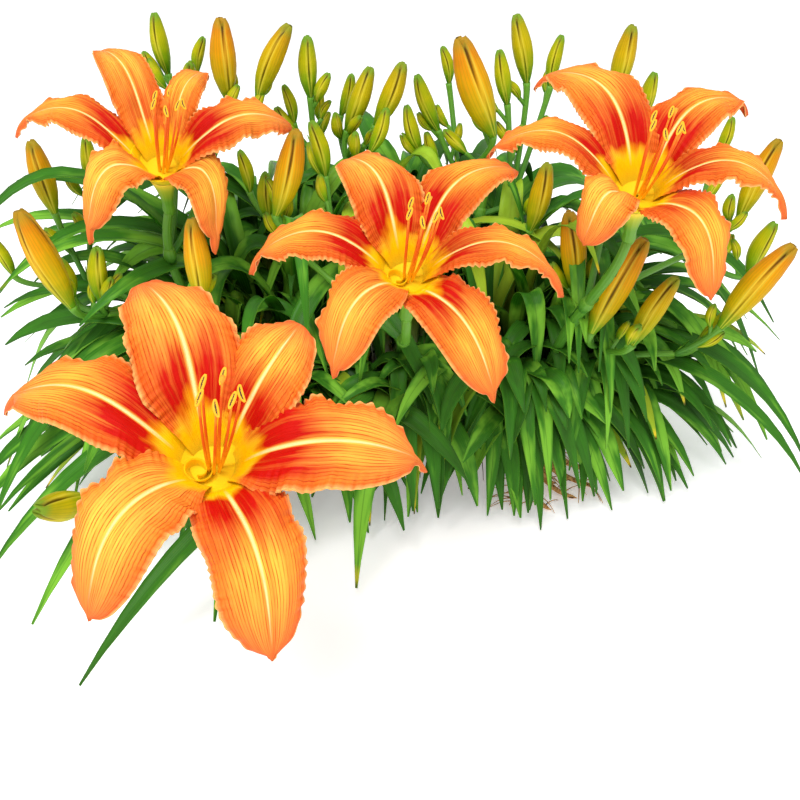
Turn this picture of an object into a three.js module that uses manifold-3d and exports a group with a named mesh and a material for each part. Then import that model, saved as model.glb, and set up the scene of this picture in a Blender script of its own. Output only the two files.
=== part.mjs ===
// A flowering daylily clump, lifted whole with its roots: twelve leaf fans on one crown,
// eight branched flower stalks with their buds, and four open flowers.
// Millimetres, +Z up, the surface it stands on at z = 0.
import * as THREE from 'three';
import { mergeVertices } from 'three/addons/utils/BufferGeometryUtils.js';
import Module from 'manifold-3d';

const manifold = await Module();
manifold.setup();

// ---- Driving dimensions ----------------------------------------------------------------
const SEAT_GAP = 0.3;
const SIMPLIFY = 0.12;
const CROWN = { underside: 32, top: 46, halfWidth: 122, halfDepth: 51, shoulder: 5, sides: 24 };
// Leaf fans: foot on the crown, the way the fan leans out, and for its leaves their reach, the
// height of their arch and the height of their tips.
const FANS = [
  { foot: [-62, -32], azimuth: -118, reach: 130, arch: 72, tip: 20 },
  { foot: [0, -40], azimuth: -90, reach: 50, arch: 80, tip: 24 },
  { foot: [62, -32], azimuth: -62, reach: 64, arch: 80, tip: 22 },
  { foot: [101, -14], azimuth: -12, reach: 134, arch: 92, tip: 46 },
  { foot: [98, 17], azimuth: 22, reach: 134, arch: 110, tip: 64 },
  { foot: [46, 36], azimuth: 62, reach: 116, arch: 140, tip: 92 },
  { foot: [-46, 36], azimuth: 118, reach: 118, arch: 146, tip: 98 },
  { foot: [-98, 17], azimuth: 158, reach: 138, arch: 120, tip: 116 },
  { foot: [-101, -14], azimuth: -160, reach: 142, arch: 100, tip: 44 },
  { foot: [-76, 0], azimuth: 178, reach: 150, arch: 160, tip: 120 },
  { foot: [76, 0], azimuth: 4, reach: 140, arch: 140, tip: 92 },
  { foot: [0, 28], azimuth: 90, reach: 104, arch: 162, tip: 120 },
];
const LEAF = { perFan: 4, width: 12, frontWidth: 14, spread: 19, unevenness: 5, keel: 1.5, segments: 4 };
// Outline of a blade: its share of the width where it starts, where it is fullest, how narrow its
// end may be, and how late it narrows. Its fold, as a share of its half width, at both ends.
const BLADE_OUTLINE = { start: 0.62, fullestBy: 0.45, end: 0.1, lateness: 3.2, fold: [0.75, 0.28] };
// How a blade bends: how far it leans out while it rises, its lift over its start, and where and
// how far over its arch the curve is drawn before it hangs out.
const BLADE = { lean: 0.06, lift: 0.8, spring: 8, crest: 0.6, overshoot: 1.3 };
// The first two fans stand in front. Their leaves are long and low and lie over the surface:
// heading, reach, height of the arch and of the tip.
const FRONT_LEAVES = {
  0: [[-132.5, 180, 70, 5], [-147.5, 182, 72, 8], [-102.4, 135, 76, 5], [-158, 183, 80, 24]],
  1: [[-131.5, 222, 66, 4], [-103, 102, 74, 6], [-84, 52, 80, 20], [-66, 56, 78, 22]],
};
const NECK = { radius: 6.2, taper: 0.72, height: 26, bladesStart: 20 };
const STALK = { baseRadius: 3.1, topRadius: 2.3 };
// A branch leaves its stalk outwards, then rises to the fork of its buds, which lies at least this
// far over the collar and this far below the lowest bud, drawn back towards the stalk.
const BRANCH = {
  radius: 2, thinning: 0.1, outward: 12, bendUp: 3, leastRise: 6, belowBuds: 14, drawnBack: 0.3,
};
const PEDICEL_RADIUS = 1.5;
const COLLAR = { height: 9, wall: 1.7 };
const BUD = { aspect: 0.16, leastRadius: 3.4, sag: -0.06 };
const TUBE = { depth: 18, length: 26, radius: 7.2, foot: 2.6, overlap: 3, flare: 2.2 };
const TEPAL_THICKNESS = 0.8;
const WHORL_STEP = 1.7;
// The stamens stand in a ring on a small disc and lean one way; the style leans further.
const STAMEN = {
  count: 6, length: 44, radius: 0.8, anther: 1.6, spread: 9, rise: 4, shift: 7, ring: 1.7, turn: 20,
};
const STAMEN_DISC = { radius: 3.2, height: 3 };
const STYLE = { length: 52, lean: 1.3 };
const ROOT = { count: 5, radius: 4.6, hub: [92, 26], apart: 17, unevenness: 6, reach: [38, 54], sway: 5 };
// How a root thickens and falls: its thinnest share, where it is fullest, how much it tapers by its
// end, how far out it starts, how deep it starts in the plate, and how steeply it comes down.
const ROOT_FORM = {
  thinnest: 0.42, swollenBy: 0.75, onset: 0.12, taper: 0.45, start: 6, sunk: 0.5, fall: 1.7,
};
const ROOT_PLATE = { radius: 15, depth: 7, taper: 0.8 };

// Flower stalks: foot on the crown, two points that bend it, and its upper end.
const STALKS = {
  1: { foot: [-8, -26], bend: [[-10, -70, 118], [-72, -214, 84]] },
  2: { foot: [-81, -20], bend: [[-112, -22, 100], [-132, -38, 140]] },
  3: { foot: [0, -8], bend: [[0, -30, 120], [3, -112, 118]] },
  4: { foot: [82, -24], bend: [[86, -40, 120], [100, -100, 150]] },
  5: { foot: [-54, -17], bend: [[-66, -14, 116], [-112, -6, 110]], end: [-150, -32, 112] },
  6: { foot: [-9, 15], bend: [[-20, 17, 110], [-40, 20, 130]], end: [-44, 22, 168] },
  7: { foot: [9, 15], bend: [[24, 17, 110], [46, 20, 130]], end: [50, 24, 168] },
  8: { foot: [54, -18], bend: [[80, -18, 88], [106, -31, 80]], end: [122, -42, 92] },
};

// Buds of each stalk by branch: foot of the bud, its lean to +X for each unit of rise, length.
const BUDS = {
  2: { at: 0.8, branches: [
    [[-131, 42, 226, -0.1, 33], [-113, 32, 229, 0.3, 20]],
    [[-94, 17, 218, 0, 42], [-77, 10, 220, 0.5, 42]],
  ] },
  3: { at: 0.62, branches: [
    [[-41, -3, 181, -0.2, 31], [-65, -40, 172, 0.3, 46]],
    [[-83, -3, 172, -0.15, 24], [-72, -14, 160, 0, 27]],
  ] },
  4: { at: 0.66, branches: [
    [[119, 27, 217, 0.15, 38], [140, 45, 199, 0.15, 28]],
    [[190, -3, 157, 0.3, 46], [183, 34, 181, 0.25, 24], [199, -8, 126, 0.3, 32]],
  ] },
  5: { at: 0.9, branches: [
    [[-171, -63, 130, -0.32, 55], [-160, -50, 128, 0.1, 31], [-178, -40, 126, -0.1, 22]],
    [[-193, -3, 160, -0.12, 41], [-180, 24, 168, 0.1, 28], [-222, -6, 124, -0.3, 24]],
    [[-101, -73, 138, 0, 44]],
  ] },
  6: { at: 0.86, branches: [
    [[-49, 17, 219, 0, 32], [-60, 28, 202, -0.2, 22], [-45, 38, 200, 0, 20]],
    [[-34, 34, 205, 0.3, 24], [-30, 20, 200, 0.4, 37], [-14, 15, 204, 0.45, 37], [-17, 2, 193, 0.4, 26]],
  ] },
  7: { at: 0.86, branches: [
    [[50, -3, 204, -0.38, 53], [28, 46, 220, -0.2, 21], [22, 28, 198, -0.4, 33], [12, 18, 188, -0.3, 28]],
    [[60, 26, 213, -0.2, 30], [71, 34, 223, -0.22, 37], [85, 39, 220, 0.15, 28], [73, -3, 150, 0.18, 39]],
  ] },
  8: { at: 0.92, branches: [
    [[95, -36, 128, -0.15, 45], [108, -20, 122, 0, 22], [101, -64, 116, 0.4, 56], [121, -73, 113, 0.45, 42]],
    [[172, -54, 114, 0.62, 55], [163, -46, 98, 0.6, 26]],
  ] },
};

// One low bud of the front stalk: where its branch leaves the stalk and which way, how far before
// the bud it points along it, and the bud's foot, the way it points and its length.
const LOW_BUD = {
  stalk: '1', at: 0.5, leaves: [-32, 18, -4], arrives: 26,
  foot: [-154, -133, 57], toward: [-0.35, -0.8, 0.45], length: 38,
};

// Open flowers: middle of the face, the way it faces, and for each tepal the azimuth of its
// tip in the face, its reach, how far the tip stands in front of the face, and how far the
// tepal rises before it bends back. A fifth number is its own swing instead of the usual one.
const FLOWERS = {
  1: { middle: [-67, -246, 161], azimuth: -85, elevation: 60, roll: 168, size: 1.13, tips: [
    [158, 84, -14, 19], [110, 72, 6, 19], [54, 57, 8, 14, 0],
    [-4, 76, -8, 17, 4], [-74, 73, -14, 10], [-126, 67, -12, 12]] },
  2: { middle: [-115, -67, 215], azimuth: -80, elevation: 58, roll: 175, size: 1, tips: [
    [155, 77, -12, 18, -18], [112, 79, -6, 22], [65, 59, -2, 17],
    [18, 68, -10, 20], [-60, 43, -26, 10, 24], [-141, 47, -24, 12, -18]] },
  3: { middle: [3, -143, 190], azimuth: -90, elevation: 58, roll: 175, size: 1, tips: [
    [173, 69, -12, 18], [116, 65, -4, 22], [47, 74, -4, 17],
    [-4, 67, -12, 20], [-57, 66, -18, 10], [-123, 56, -14, 12]] },
  4: { middle: [104, -119, 219], azimuth: -98, elevation: 58, roll: 174, size: 1, tips: [
    [162, 71, -12, 18, -16], [128, 78, -6, 22], [46, 69, -4, 17],
    [-3, 63, -12, 20], [-55, 56, -20, 10, 20], [-131, 34, -16, 12]] },
};
// Where the throat of a flower widens: distance from its axis and height over its face.
const THROAT = { radius: 14, height: 7 };
// How much of the way round the throat half a tepal may take.
const TEPAL_SHARE = 0.74;
const PETAL_HALF_WIDTH = 16.5;
const SEPAL_HALF_WIDTH = 13.5;
// How far the middle of a level tepal swings upwards in the face, in degrees, as its end droops.
const TEPAL_DROOP = 12;
// A tepal's curve: where it starts at the tube, where along its reach it crests, and how slowly it
// turns from its place in the tube to the azimuth of its tip.
const TEPAL_CURVE = { start: 5, crestAt: 0.62, turning: 1.3 };
// Outline of a tepal: its share of the width where it starts, where it is fullest, over which share
// of its length it closes, and how bluntly.
const TEPAL_OUTLINE = { start: 0.3, fullestAt: 0.58, closing: 0.44, bluntness: 2.3 };

// ---- Small tools -----------------------------------------------------------------------
const radians = THREE.MathUtils.degToRad;
const point = (x, y, z) => new THREE.Vector3(x, y, z);
const mix = THREE.MathUtils.lerp;

/** A repeatable value from 0 to 1 for two whole numbers. */
function chance(a, b) {
  const value = Math.sin(a * 127.1 + b * 311.7) * 43758.5453;
  return value - Math.floor(value);
}

/** Closed solid through rings of points; each end is closed by a strip across its ring. */
function loft(rings) {
  const count = rings[0].length;
  const positions = rings.flat().flatMap((p) => [p.x, p.y, p.z]);
  const index = [];
  for (let ring = 0; ring < rings.length - 1; ring += 1) {
    for (let k = 0; k < count; k += 1) {
      const a = ring * count + k;
      const b = ring * count + ((k + 1) % count);
      index.push(a, b, b + count, a, b + count, a + count);
    }
  }
  const last = (rings.length - 1) * count;
  for (let k = 0; k < count / 2 - 1; k += 1) {
    const far = count - 1 - k;
    index.push(k, far, k + 1, far, far - 1, k + 1);
    index.push(last + k, last + k + 1, last + far, last + far, last + k + 1, last + far - 1);
  }
  const geometry = new THREE.BufferGeometry();
  geometry.setAttribute('position', new THREE.Float32BufferAttribute(positions, 3));
  geometry.setIndex(index);
  return geometry;
}

/** Turns a closed geometry into a solid for joining and cutting. */
function toSolid(geometry) {
  const bare = geometry.clone();
  bare.deleteAttribute('normal');
  bare.deleteAttribute('uv');
  const merged = mergeVertices(bare, 1e-4);
  return new manifold.Manifold(new manifold.Mesh({
    numProp: 3,
    vertProperties: new Float32Array(merged.attributes.position.array),
    triVerts: new Uint32Array(merged.index.array),
  }));
}

/** Turns a solid back into a geometry. */
function toGeometry(solid) {
  const { numProp, vertProperties, triVerts } = solid.getMesh();
  const positions = [];
  for (let k = 0; k < vertProperties.length; k += numProp) {
    positions.push(vertProperties[k], vertProperties[k + 1], vertProperties[k + 2]);
  }
  const geometry = new THREE.BufferGeometry();
  geometry.setAttribute('position', new THREE.Float32BufferAttribute(positions, 3));
  geometry.setIndex(Array.from(triVerts));
  return geometry;
}

const join = (geometries) => geometries.map(toSolid).reduce((all, one) => all.add(one));

/** Cuts the obstacles out of a solid and keeps the largest piece that is left. */
function trim(solid, obstacles) {
  const cut = obstacles.reduce((left, obstacle) => left.subtract(obstacle), solid);
  return cut.simplify(SIMPLIFY).decompose().reduce((a, b) => (a.volume() > b.volume() ? a : b));
}

/** A round limb through points, with a radius at each and the given number of sides. */
function limb(points, radii, sides) {
  let normal = point(0, 0, 1);
  const rings = points.map((middle, k) => {
    const before = points[Math.max(0, k - 1)];
    const after = points[Math.min(points.length - 1, k + 1)];
    const tangent = after.clone().sub(before).normalize();
    if (k === 0 && Math.abs(tangent.z) > 0.8) normal = point(0, 1, 0);
    normal = normal.clone().addScaledVector(tangent, -normal.dot(tangent)).normalize();
    const binormal = new THREE.Vector3().crossVectors(tangent, normal);
    return Array.from({ length: sides }, (_, side) => {
      const angle = (side / sides) * 2 * Math.PI;
      return middle.clone()
        .addScaledVector(normal, radii[k] * Math.cos(angle))
        .addScaledVector(binormal, radii[k] * Math.sin(angle));
    });
  });
  return loft(rings);
}

/** Shares of the way from 0 to 1 in equal steps. */
const steps = (count) => Array.from({ length: count + 1 }, (_, k) => k / count);

// ---- Crown and roots -------------------------------------------------------------------
/** The crown: a low woody disc that carries fans and stalks and roots below. */
function crownGeometry(grow = 0) {
  const { halfWidth, halfDepth } = CROWN;
  const low = CROWN.underside - grow;
  const high = CROWN.top + grow;
  const profile = [
    [0, low], [0.94, low], [1, low + CROWN.shoulder], [0.98, high - CROWN.shoulder], [0.94, high], [0, high],
  ];
  const lathe = new THREE.LatheGeometry(profile.map(([r, z]) => new THREE.Vector2(r, z)), CROWN.sides);
  lathe.rotateX(Math.PI / 2);
  lathe.scale(halfWidth + grow, halfDepth + grow, 1);
  return lathe;
}

/** Radius of a fleshy root along its length: thin, then swollen, then a long taper. */
function rootRadius(along) {
  const { thinnest, swollenBy, onset, taper } = ROOT_FORM;
  const swelling = Math.sin(Math.PI * Math.min(1, along / swollenBy + onset)) ** 2;
  return ROOT.radius * mix(thinnest, 1, swelling) * (1 - taper * along ** 3);
}

/** One bundle of roots under a quarter of the crown, spread out on the surface. */
function rootBundle(quarter) {
  const middle = radians(45 + 90 * quarter);
  const hub = point(ROOT.hub[0] * Math.cos(middle), ROOT.hub[1] * Math.sin(middle), 0);
  const top = CROWN.underside - SEAT_GAP;
  const { radius, depth, taper } = ROOT_PLATE;
  const plate = new THREE.CylinderGeometry(taper * radius, radius, depth, 8);
  plate.rotateX(Math.PI / 2);
  plate.translate(hub.x, hub.y, top - depth / 2);
  const roots = Array.from({ length: ROOT.count }, (_, k) => {
    const place = k - (ROOT.count - 1) / 2;
    const heading = middle + radians(place * ROOT.apart + ROOT.unevenness * (chance(quarter, k) - 0.5));
    const reach = mix(...ROOT.reach, chance(k, quarter + 7));
    const shares = steps(5);
    const points = shares.map((along) => {
      const lift = (top - depth + ROOT_FORM.sunk) * (1 - along) ** ROOT_FORM.fall;
      const out = ROOT_FORM.start + reach * along ** 0.9;
      const sway = ROOT.sway * Math.sin(5 * along + k) * along;
      return point(
        hub.x + out * Math.cos(heading) - sway * Math.sin(heading),
        hub.y + out * Math.sin(heading) + sway * Math.cos(heading),
        lift + rootRadius(along),
      );
    });
    return limb(points, shares.map(rootRadius), 6);
  });
  return join([plate, ...roots]);
}

// ---- Leaves ----------------------------------------------------------------------------
/** Half width of a leaf blade along its length. */
function leafHalfWidth(along, width) {
  const { start, fullestBy, end, lateness } = BLADE_OUTLINE;
  const swell = mix(start, 1, Math.sin(Math.min(1, along / fullestBy) * Math.PI / 2));
  return 0.5 * width * swell * Math.max(end, 1 - along ** lateness);
}

/** A leaf blade: a folded ribbon that rises from its fan, arches over and hangs out. */
function leafGeometry(foot, form, grow) {
  const out = point(Math.cos(form.heading), Math.sin(form.heading), 0);
  const across = point(-out.y, out.x, 0);
  const at = (distance, height) => foot.clone().addScaledVector(out, distance).setZ(height);
  const curve = new THREE.CubicBezierCurve3(
    at(0, foot.z),
    at(BLADE.lean * form.reach, foot.z + BLADE.lift * Math.max(0, form.arch - foot.z) + BLADE.spring),
    at(BLADE.crest * form.reach, form.arch * BLADE.overshoot),
    at(form.reach, form.tip),
  );
  const rings = steps(LEAF.segments).map((along) => {
    const middle = curve.getPoint(along);
    const tangent = curve.getTangent(along);
    const up = new THREE.Vector3().crossVectors(tangent, across).normalize();
    const half = leafHalfWidth(along, form.width) + grow;
    const fold = half * mix(...BLADE_OUTLINE.fold, along);
    const keel = (LEAF.keel * mix(1, 0.5, along)) / 2 + grow;
    const above = (height) => middle.clone().addScaledVector(up, height);
    const side = (sign) => above(fold).addScaledVector(across, sign * half);
    return [side(-1), above(-keel), side(1), above(keel)];
  });
  return loft(rings);
}

/** Heading and sizes of one leaf of a fan. */
function leafForm(fan, k) {
  const { azimuth, reach, arch, tip } = FANS[fan];
  if (fan in FRONT_LEAVES) {
    const [heading, ownReach, ownArch, ownTip] = FRONT_LEAVES[fan][k];
    return { heading: radians(heading), reach: ownReach, arch: ownArch, tip: ownTip, width: LEAF.frontWidth };
  }
  const place = (k / (LEAF.perFan - 1)) * 2 - 1;
  return {
    heading: radians(azimuth + LEAF.spread * place + LEAF.unevenness * (chance(fan, k) - 0.5)),
    reach: reach * mix(0.88, 1.08, chance(k, fan + 3)),
    arch: arch * mix(0.9, 1.1, chance(fan + 5, k)),
    tip: tip * mix(0.4, 1.5, chance(fan + 9, k)),
    width: LEAF.width * mix(0.85, 1.12, chance(k, fan)),
  };
}

/** One fan of leaves, joined at the white neck where they sheathe each other. */
function leafFan(fan, grow = 0) {
  const foot = point(...FANS[fan].foot, CROWN.top + SEAT_GAP);
  const neckTop = foot.clone().setZ(foot.z + NECK.height + grow);
  const neck = limb([foot, neckTop], [NECK.radius + grow, NECK.radius * NECK.taper + grow], 6);
  const start = foot.clone().setZ(foot.z + NECK.bladesStart);
  const forms = Array.from({ length: LEAF.perFan }, (_, k) => leafForm(fan, k));
  const blades = forms.map((form) => leafGeometry(start, form, grow));
  return join([neck, ...blades]);
}

// ---- Stalks and buds -------------------------------------------------------------------
/** Unit vectors of a flower: out of its face, to its right and up in its face. */
function flowerAxes({ azimuth, elevation }) {
  const turn = radians(azimuth);
  const rise = radians(elevation);
  const out = point(Math.cos(turn) * Math.cos(rise), Math.sin(turn) * Math.cos(rise), Math.sin(rise));
  const right = new THREE.Vector3().crossVectors(point(0, 0, 1), out).normalize();
  return { out, right, up: new THREE.Vector3().crossVectors(out, right) };
}

/** Upper end of a stalk: the foot of its flower's tube, or its own last point. */
function stalkEnd(name) {
  const flower = FLOWERS[name];
  if (!flower) return point(...STALKS[name].end);
  const { out } = flowerAxes(flower);
  return point(...flower.middle).addScaledVector(out, -(TUBE.depth + TUBE.length) * flower.size);
}

function stalkCurve(name) {
  const { foot, bend } = STALKS[name];
  return new THREE.CubicBezierCurve3(
    point(foot[0], foot[1], CROWN.top - 1),
    point(...bend[0]),
    point(...bend[1]),
    stalkEnd(name),
  );
}

const stalkRadius = (along) => mix(STALK.baseRadius, STALK.topRadius, along);

/** A closed bud on its pedicel: a thin stem that swells to a spindle, fullest in its middle. */
function budGeometry(stemPoints, direction, length, grow) {
  const foot = stemPoints.at(-1);
  const radius = Math.max(BUD.leastRadius, length * BUD.aspect);
  const spindle = [0.28, 0.68, 1].map((share) => foot.clone().addScaledVector(direction, share * length));
  const swelling = [0.92, 0.92, 0.26].map((share) => share * radius + grow);
  const stem = stemPoints.map(() => PEDICEL_RADIUS + grow);
  return limb([...stemPoints, ...spindle], [...stem, ...swelling], 6);
}

/** The low bud of the front stalk, on a branch that hangs out sideways. */
function lowBudGeometry(grow) {
  const start = stalkCurve(LOW_BUD.stalk).getPointAt(LOW_BUD.at);
  const foot = point(...LOW_BUD.foot);
  const direction = point(...LOW_BUD.toward).normalize();
  const branch = new THREE.CubicBezierCurve3(
    start,
    start.clone().add(point(...LOW_BUD.leaves)),
    foot.clone().addScaledVector(direction, -LOW_BUD.arrives),
    foot,
  );
  return budGeometry(branch.getPoints(4), direction, LOW_BUD.length, grow);
}

/** A stalk, with the tube of its flower where it bears one. */
function stalkSolid(name, grow = 0) {
  const along = steps(7);
  const curve = stalkCurve(name);
  const points = along.map((share) => curve.getPointAt(share));
  points.at(-1).addScaledVector(curve.getTangentAt(1), grow);
  const parts = [limb(points, along.map((share) => stalkRadius(share) + grow), 6)];
  const flower = FLOWERS[name];
  if (flower) {
    const { out } = flowerAxes(flower);
    const middle = point(...flower.middle);
    const { depth, length, radius, foot, overlap, flare } = TUBE;
    const low = middle.clone().addScaledVector(out, -(depth + length + overlap) * flower.size);
    const high = middle.clone().addScaledVector(out, -depth * flower.size - SEAT_GAP + grow);
    const shares = [0, 0.35, 0.7, 1];
    const radii = shares.map((share) => mix(foot, radius * flower.size, share ** flare) + grow);
    parts.push(limb(shares.map((share) => low.clone().lerp(high, share)), radii, 8));
  }
  if (name === LOW_BUD.stalk) parts.push(lowBudGeometry(grow));
  return join(parts);
}

/** The collar that clasps a stalk where its branches leave it. */
function collarSolid(name, at, grow) {
  const curve = stalkCurve(name);
  const middle = curve.getPointAt(at);
  const half = curve.getTangentAt(at).multiplyScalar(COLLAR.height / 2 + grow);
  const radius = stalkRadius(at) + COLLAR.wall + SEAT_GAP + grow;
  return toSolid(limb([middle.clone().sub(half), middle.clone().add(half)], [radius, radius], 8));
}

/** The buds of one stalk on their branches, joined at the collar. */
function budCluster(name, grow = 0) {
  const { at, branches } = BUDS[name];
  const start = stalkCurve(name).getPointAt(at);
  const parts = [];
  branches.forEach((buds) => {
    const feet = buds.map(([x, y, z]) => point(x, y, z));
    const fork = feet.reduce((sum, foot) => sum.add(foot), point(0, 0, 0)).divideScalar(feet.length);
    const lowest = Math.min(...feet.map((foot) => foot.z));
    fork.lerp(start, BRANCH.drawnBack);
    fork.setZ(Math.max(start.z + BRANCH.leastRise, lowest - BRANCH.belowBuds));
    const outward = fork.clone().sub(start).setZ(0).setLength(BRANCH.outward);
    const bend = start.clone().add(outward).add(point(0, 0, BRANCH.bendUp));
    const branch = new THREE.QuadraticBezierCurve3(start, bend, fork).getPoints(3);
    parts.push(limb(branch, branch.map((_, k) => BRANCH.radius - BRANCH.thinning * k + grow), 4));
    buds.forEach(([, , , lean, length], k) => {
      const direction = point(lean, BUD.sag, 1).normalize();
      parts.push(budGeometry([fork, feet[k]], direction, length, grow));
    });
  });
  return join(parts).add(collarSolid(name, at, grow));
}

// ---- Flowers ---------------------------------------------------------------------------
/** Half width of a tepal along its length, as a share of its widest. */
function tepalFullness(along) {
  const { start, fullestAt, closing, bluntness } = TEPAL_OUTLINE;
  const opening = mix(start, 1, Math.sin(Math.min(1, along / fullestAt) * Math.PI / 2));
  const closed = Math.max(0, along - fullestAt) / closing;
  return opening * Math.sqrt(1 - closed ** bluntness);
}

/** A petal or sepal: a thin sheet that leaves the tube, flares out and bends back. */
function tepalGeometry(flower, k, grow = 0) {
  const { out, right, up } = flowerAxes(flower);
  const middle = point(...flower.middle);
  const isPetal = k % 2 === 1;
  const [tipAzimuth, reach, tipHeight, crest, swing] = flower.tips[k];
  const base = flower.roll - 60 * k;
  const sweep = ((tipAzimuth - base + 540) % 360) - 180;
  const level = Math.cos(radians(tipAzimuth));
  const droop = swing ?? TEPAL_DROOP * Math.sign(level) * Math.sqrt(Math.abs(level));
  const step = isPetal ? 0 : WHORL_STEP;
  const scale = flower.size;
  const spine = new THREE.CubicBezierCurve(
    new THREE.Vector2(TEPAL_CURVE.start * scale + step, -TUBE.depth * scale),
    new THREE.Vector2(THROAT.radius * scale + step, THROAT.height * scale - step),
    new THREE.Vector2(TEPAL_CURVE.crestAt * reach, crest * scale - step),
    new THREE.Vector2(reach, tipHeight - step),
  );
  const widest = (isPetal ? PETAL_HALF_WIDTH : SEPAL_HALF_WIDTH) * scale;
  const rings = [0, 0.16, 0.36, 0.58, 0.8, 1].map((along) => {
    const at = spine.getPoint(along);
    const slope = spine.getTangent(along);
    const half = Math.min(widest * tepalFullness(along), TEPAL_SHARE * at.x);
    const turned = sweep * along ** TEPAL_CURVE.turning;
    const heading = radians(base + turned + droop * Math.sin(Math.PI * along));
    const layer = (offset, share) => {
      const distance = at.x - slope.y * offset;
      const height = at.y + slope.x * offset;
      const angle = heading + ((share * half) / at.x) * (1 + grow / half);
      return middle.clone().addScaledVector(out, height)
        .addScaledVector(right, distance * Math.cos(angle))
        .addScaledVector(up, distance * Math.sin(angle));
    };
    const shares = [1, 0.4, -0.4, -1];
    const upper = shares.map((share) => layer(TEPAL_THICKNESS / 2 + grow, share));
    const lower = shares.map((share) => layer(-TEPAL_THICKNESS / 2 - grow, share)).reverse();
    return [...upper, ...lower];
  });
  return loft(rings);
}

/** Six stamens and the style, standing on one small disc in the throat. */
function stamensGeometry(flower, grow = 0) {
  const { out, right, up } = flowerAxes(flower);
  const middle = point(...flower.middle);
  const scale = flower.size;
  const at = (side, rise, height) => middle.clone().addScaledVector(right, side)
    .addScaledVector(up, rise).addScaledVector(out, height);
  const floor = -TUBE.depth * scale;
  const disc = STAMEN_DISC.radius + grow;
  const parts = [limb([at(0, 0, floor), at(0, 0, floor + STAMEN_DISC.height)], [disc, disc], 6)];
  for (let k = 0; k <= STAMEN.count; k += 1) {
    const isStyle = k === STAMEN.count;
    const angle = radians((360 / STAMEN.count) * k + STAMEN.turn);
    const spread = isStyle ? 0 : STAMEN.spread * mix(0.7, 1.1, chance(k, 3));
    const length = isStyle ? STYLE.length : STAMEN.length * mix(0.88, 1.05, chance(k, 8));
    const top = floor + length * scale;
    const lean = isStyle ? STYLE.lean : 1;
    const filament = new THREE.QuadraticBezierCurve3(
      at(STAMEN.ring * Math.cos(angle), STAMEN.ring * Math.sin(angle), floor + 1),
      at(
        spread * 0.75 * Math.cos(angle) + 0.57 * STAMEN.shift * lean,
        spread * 0.75 * Math.sin(angle) - 3,
        mix(floor, top, 0.55),
      ),
      at(
        spread * Math.cos(angle) + STAMEN.shift * lean,
        spread * Math.sin(angle) + STAMEN.rise * lean,
        top,
      ),
    );
    const points = [0, 0.5, 0.88, 1].map((share) => filament.getPoint(share));
    const radii = [1, 1, isStyle ? 1 : STAMEN.anther, 1].map((share) => share * STAMEN.radius + grow);
    parts.push(limb(points, radii, 4));
  }
  return join(parts);
}

// ---- Assembly --------------------------------------------------------------------------
const FINISH = {
  crown: { color: '#3b2a1a', roughness: 0.95 },
  root: { color: '#c99858', roughness: 0.85 },
  leaf: { color: '#2e7d32', roughness: 0.5 },
  stalk: { color: '#5f9a35', roughness: 0.5 },
  bud: { color: '#d9b02a', roughness: 0.45 },
  petal: { color: '#f6962b', roughness: 0.5 },
  sepal: { color: '#f2852a', roughness: 0.5 },
  stamen: { color: '#e8651c', roughness: 0.6 },
};

const plant = new THREE.Group();
const standing = [];

/** Adds a solid to the plant, cut clear of what already stands near it. */
function plantNode(name, finish, solid, grown) {
  const clear = trim(solid, standing);
  if (grown) standing.push(grown);
  const material = new THREE.MeshStandardMaterial({ ...FINISH[finish], metalness: 0 });
  const mesh = new THREE.Mesh(toGeometry(clear), material);
  mesh.name = name;
  plant.add(mesh);
}

plantNode('crown', 'crown', toSolid(crownGeometry()), toSolid(crownGeometry(SEAT_GAP)));
['back_right', 'back_left', 'front_left', 'front_right'].forEach((side, quarter) => {
  plantNode(`roots_${side}`, 'root', rootBundle(quarter));
});
Object.keys(STALKS).forEach((name) => {
  plantNode(`stalk_${name}`, 'stalk', stalkSolid(name), stalkSolid(name, SEAT_GAP));
});
Object.entries(FLOWERS).forEach(([name, flower]) => {
  flower.tips.forEach((_, k) => {
    const kind = k % 2 === 1 ? 'petal' : 'sepal';
    const geometry = tepalGeometry(flower, k);
    const node = `flower_${name}_${kind}_${Math.floor(k / 2) + 1}`;
    plantNode(node, kind, toSolid(geometry), toSolid(tepalGeometry(flower, k, SEAT_GAP)));
  });
  plantNode(`flower_${name}_stamens`, 'stamen', stamensGeometry(flower), stamensGeometry(flower, SEAT_GAP));
});
Object.keys(BUDS).forEach((name) => {
  plantNode(`buds_${name}`, 'bud', budCluster(name), budCluster(name, SEAT_GAP));
});
FANS.forEach((_, fan) => {
  plantNode(`leaves_${fan + 1}`, 'leaf', leafFan(fan), leafFan(fan, SEAT_GAP));
});

const footprint = new THREE.Box3().setFromObject(plant).getCenter(new THREE.Vector3());
plant.position.set(-footprint.x, -footprint.y, 0);

export default plant;
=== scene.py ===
"""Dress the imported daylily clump: leaves, stalks, buds, open flowers, crown and roots.

Lengths inside the builders are millimetres in the clump's own frame, whose origin lies on the
surface below the middle of the crown. `Tissue.piece` turns them to metres in the shared frame.
"""
import logging
import math
from dataclasses import dataclass
from enum import Enum
from typing import Any

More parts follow.
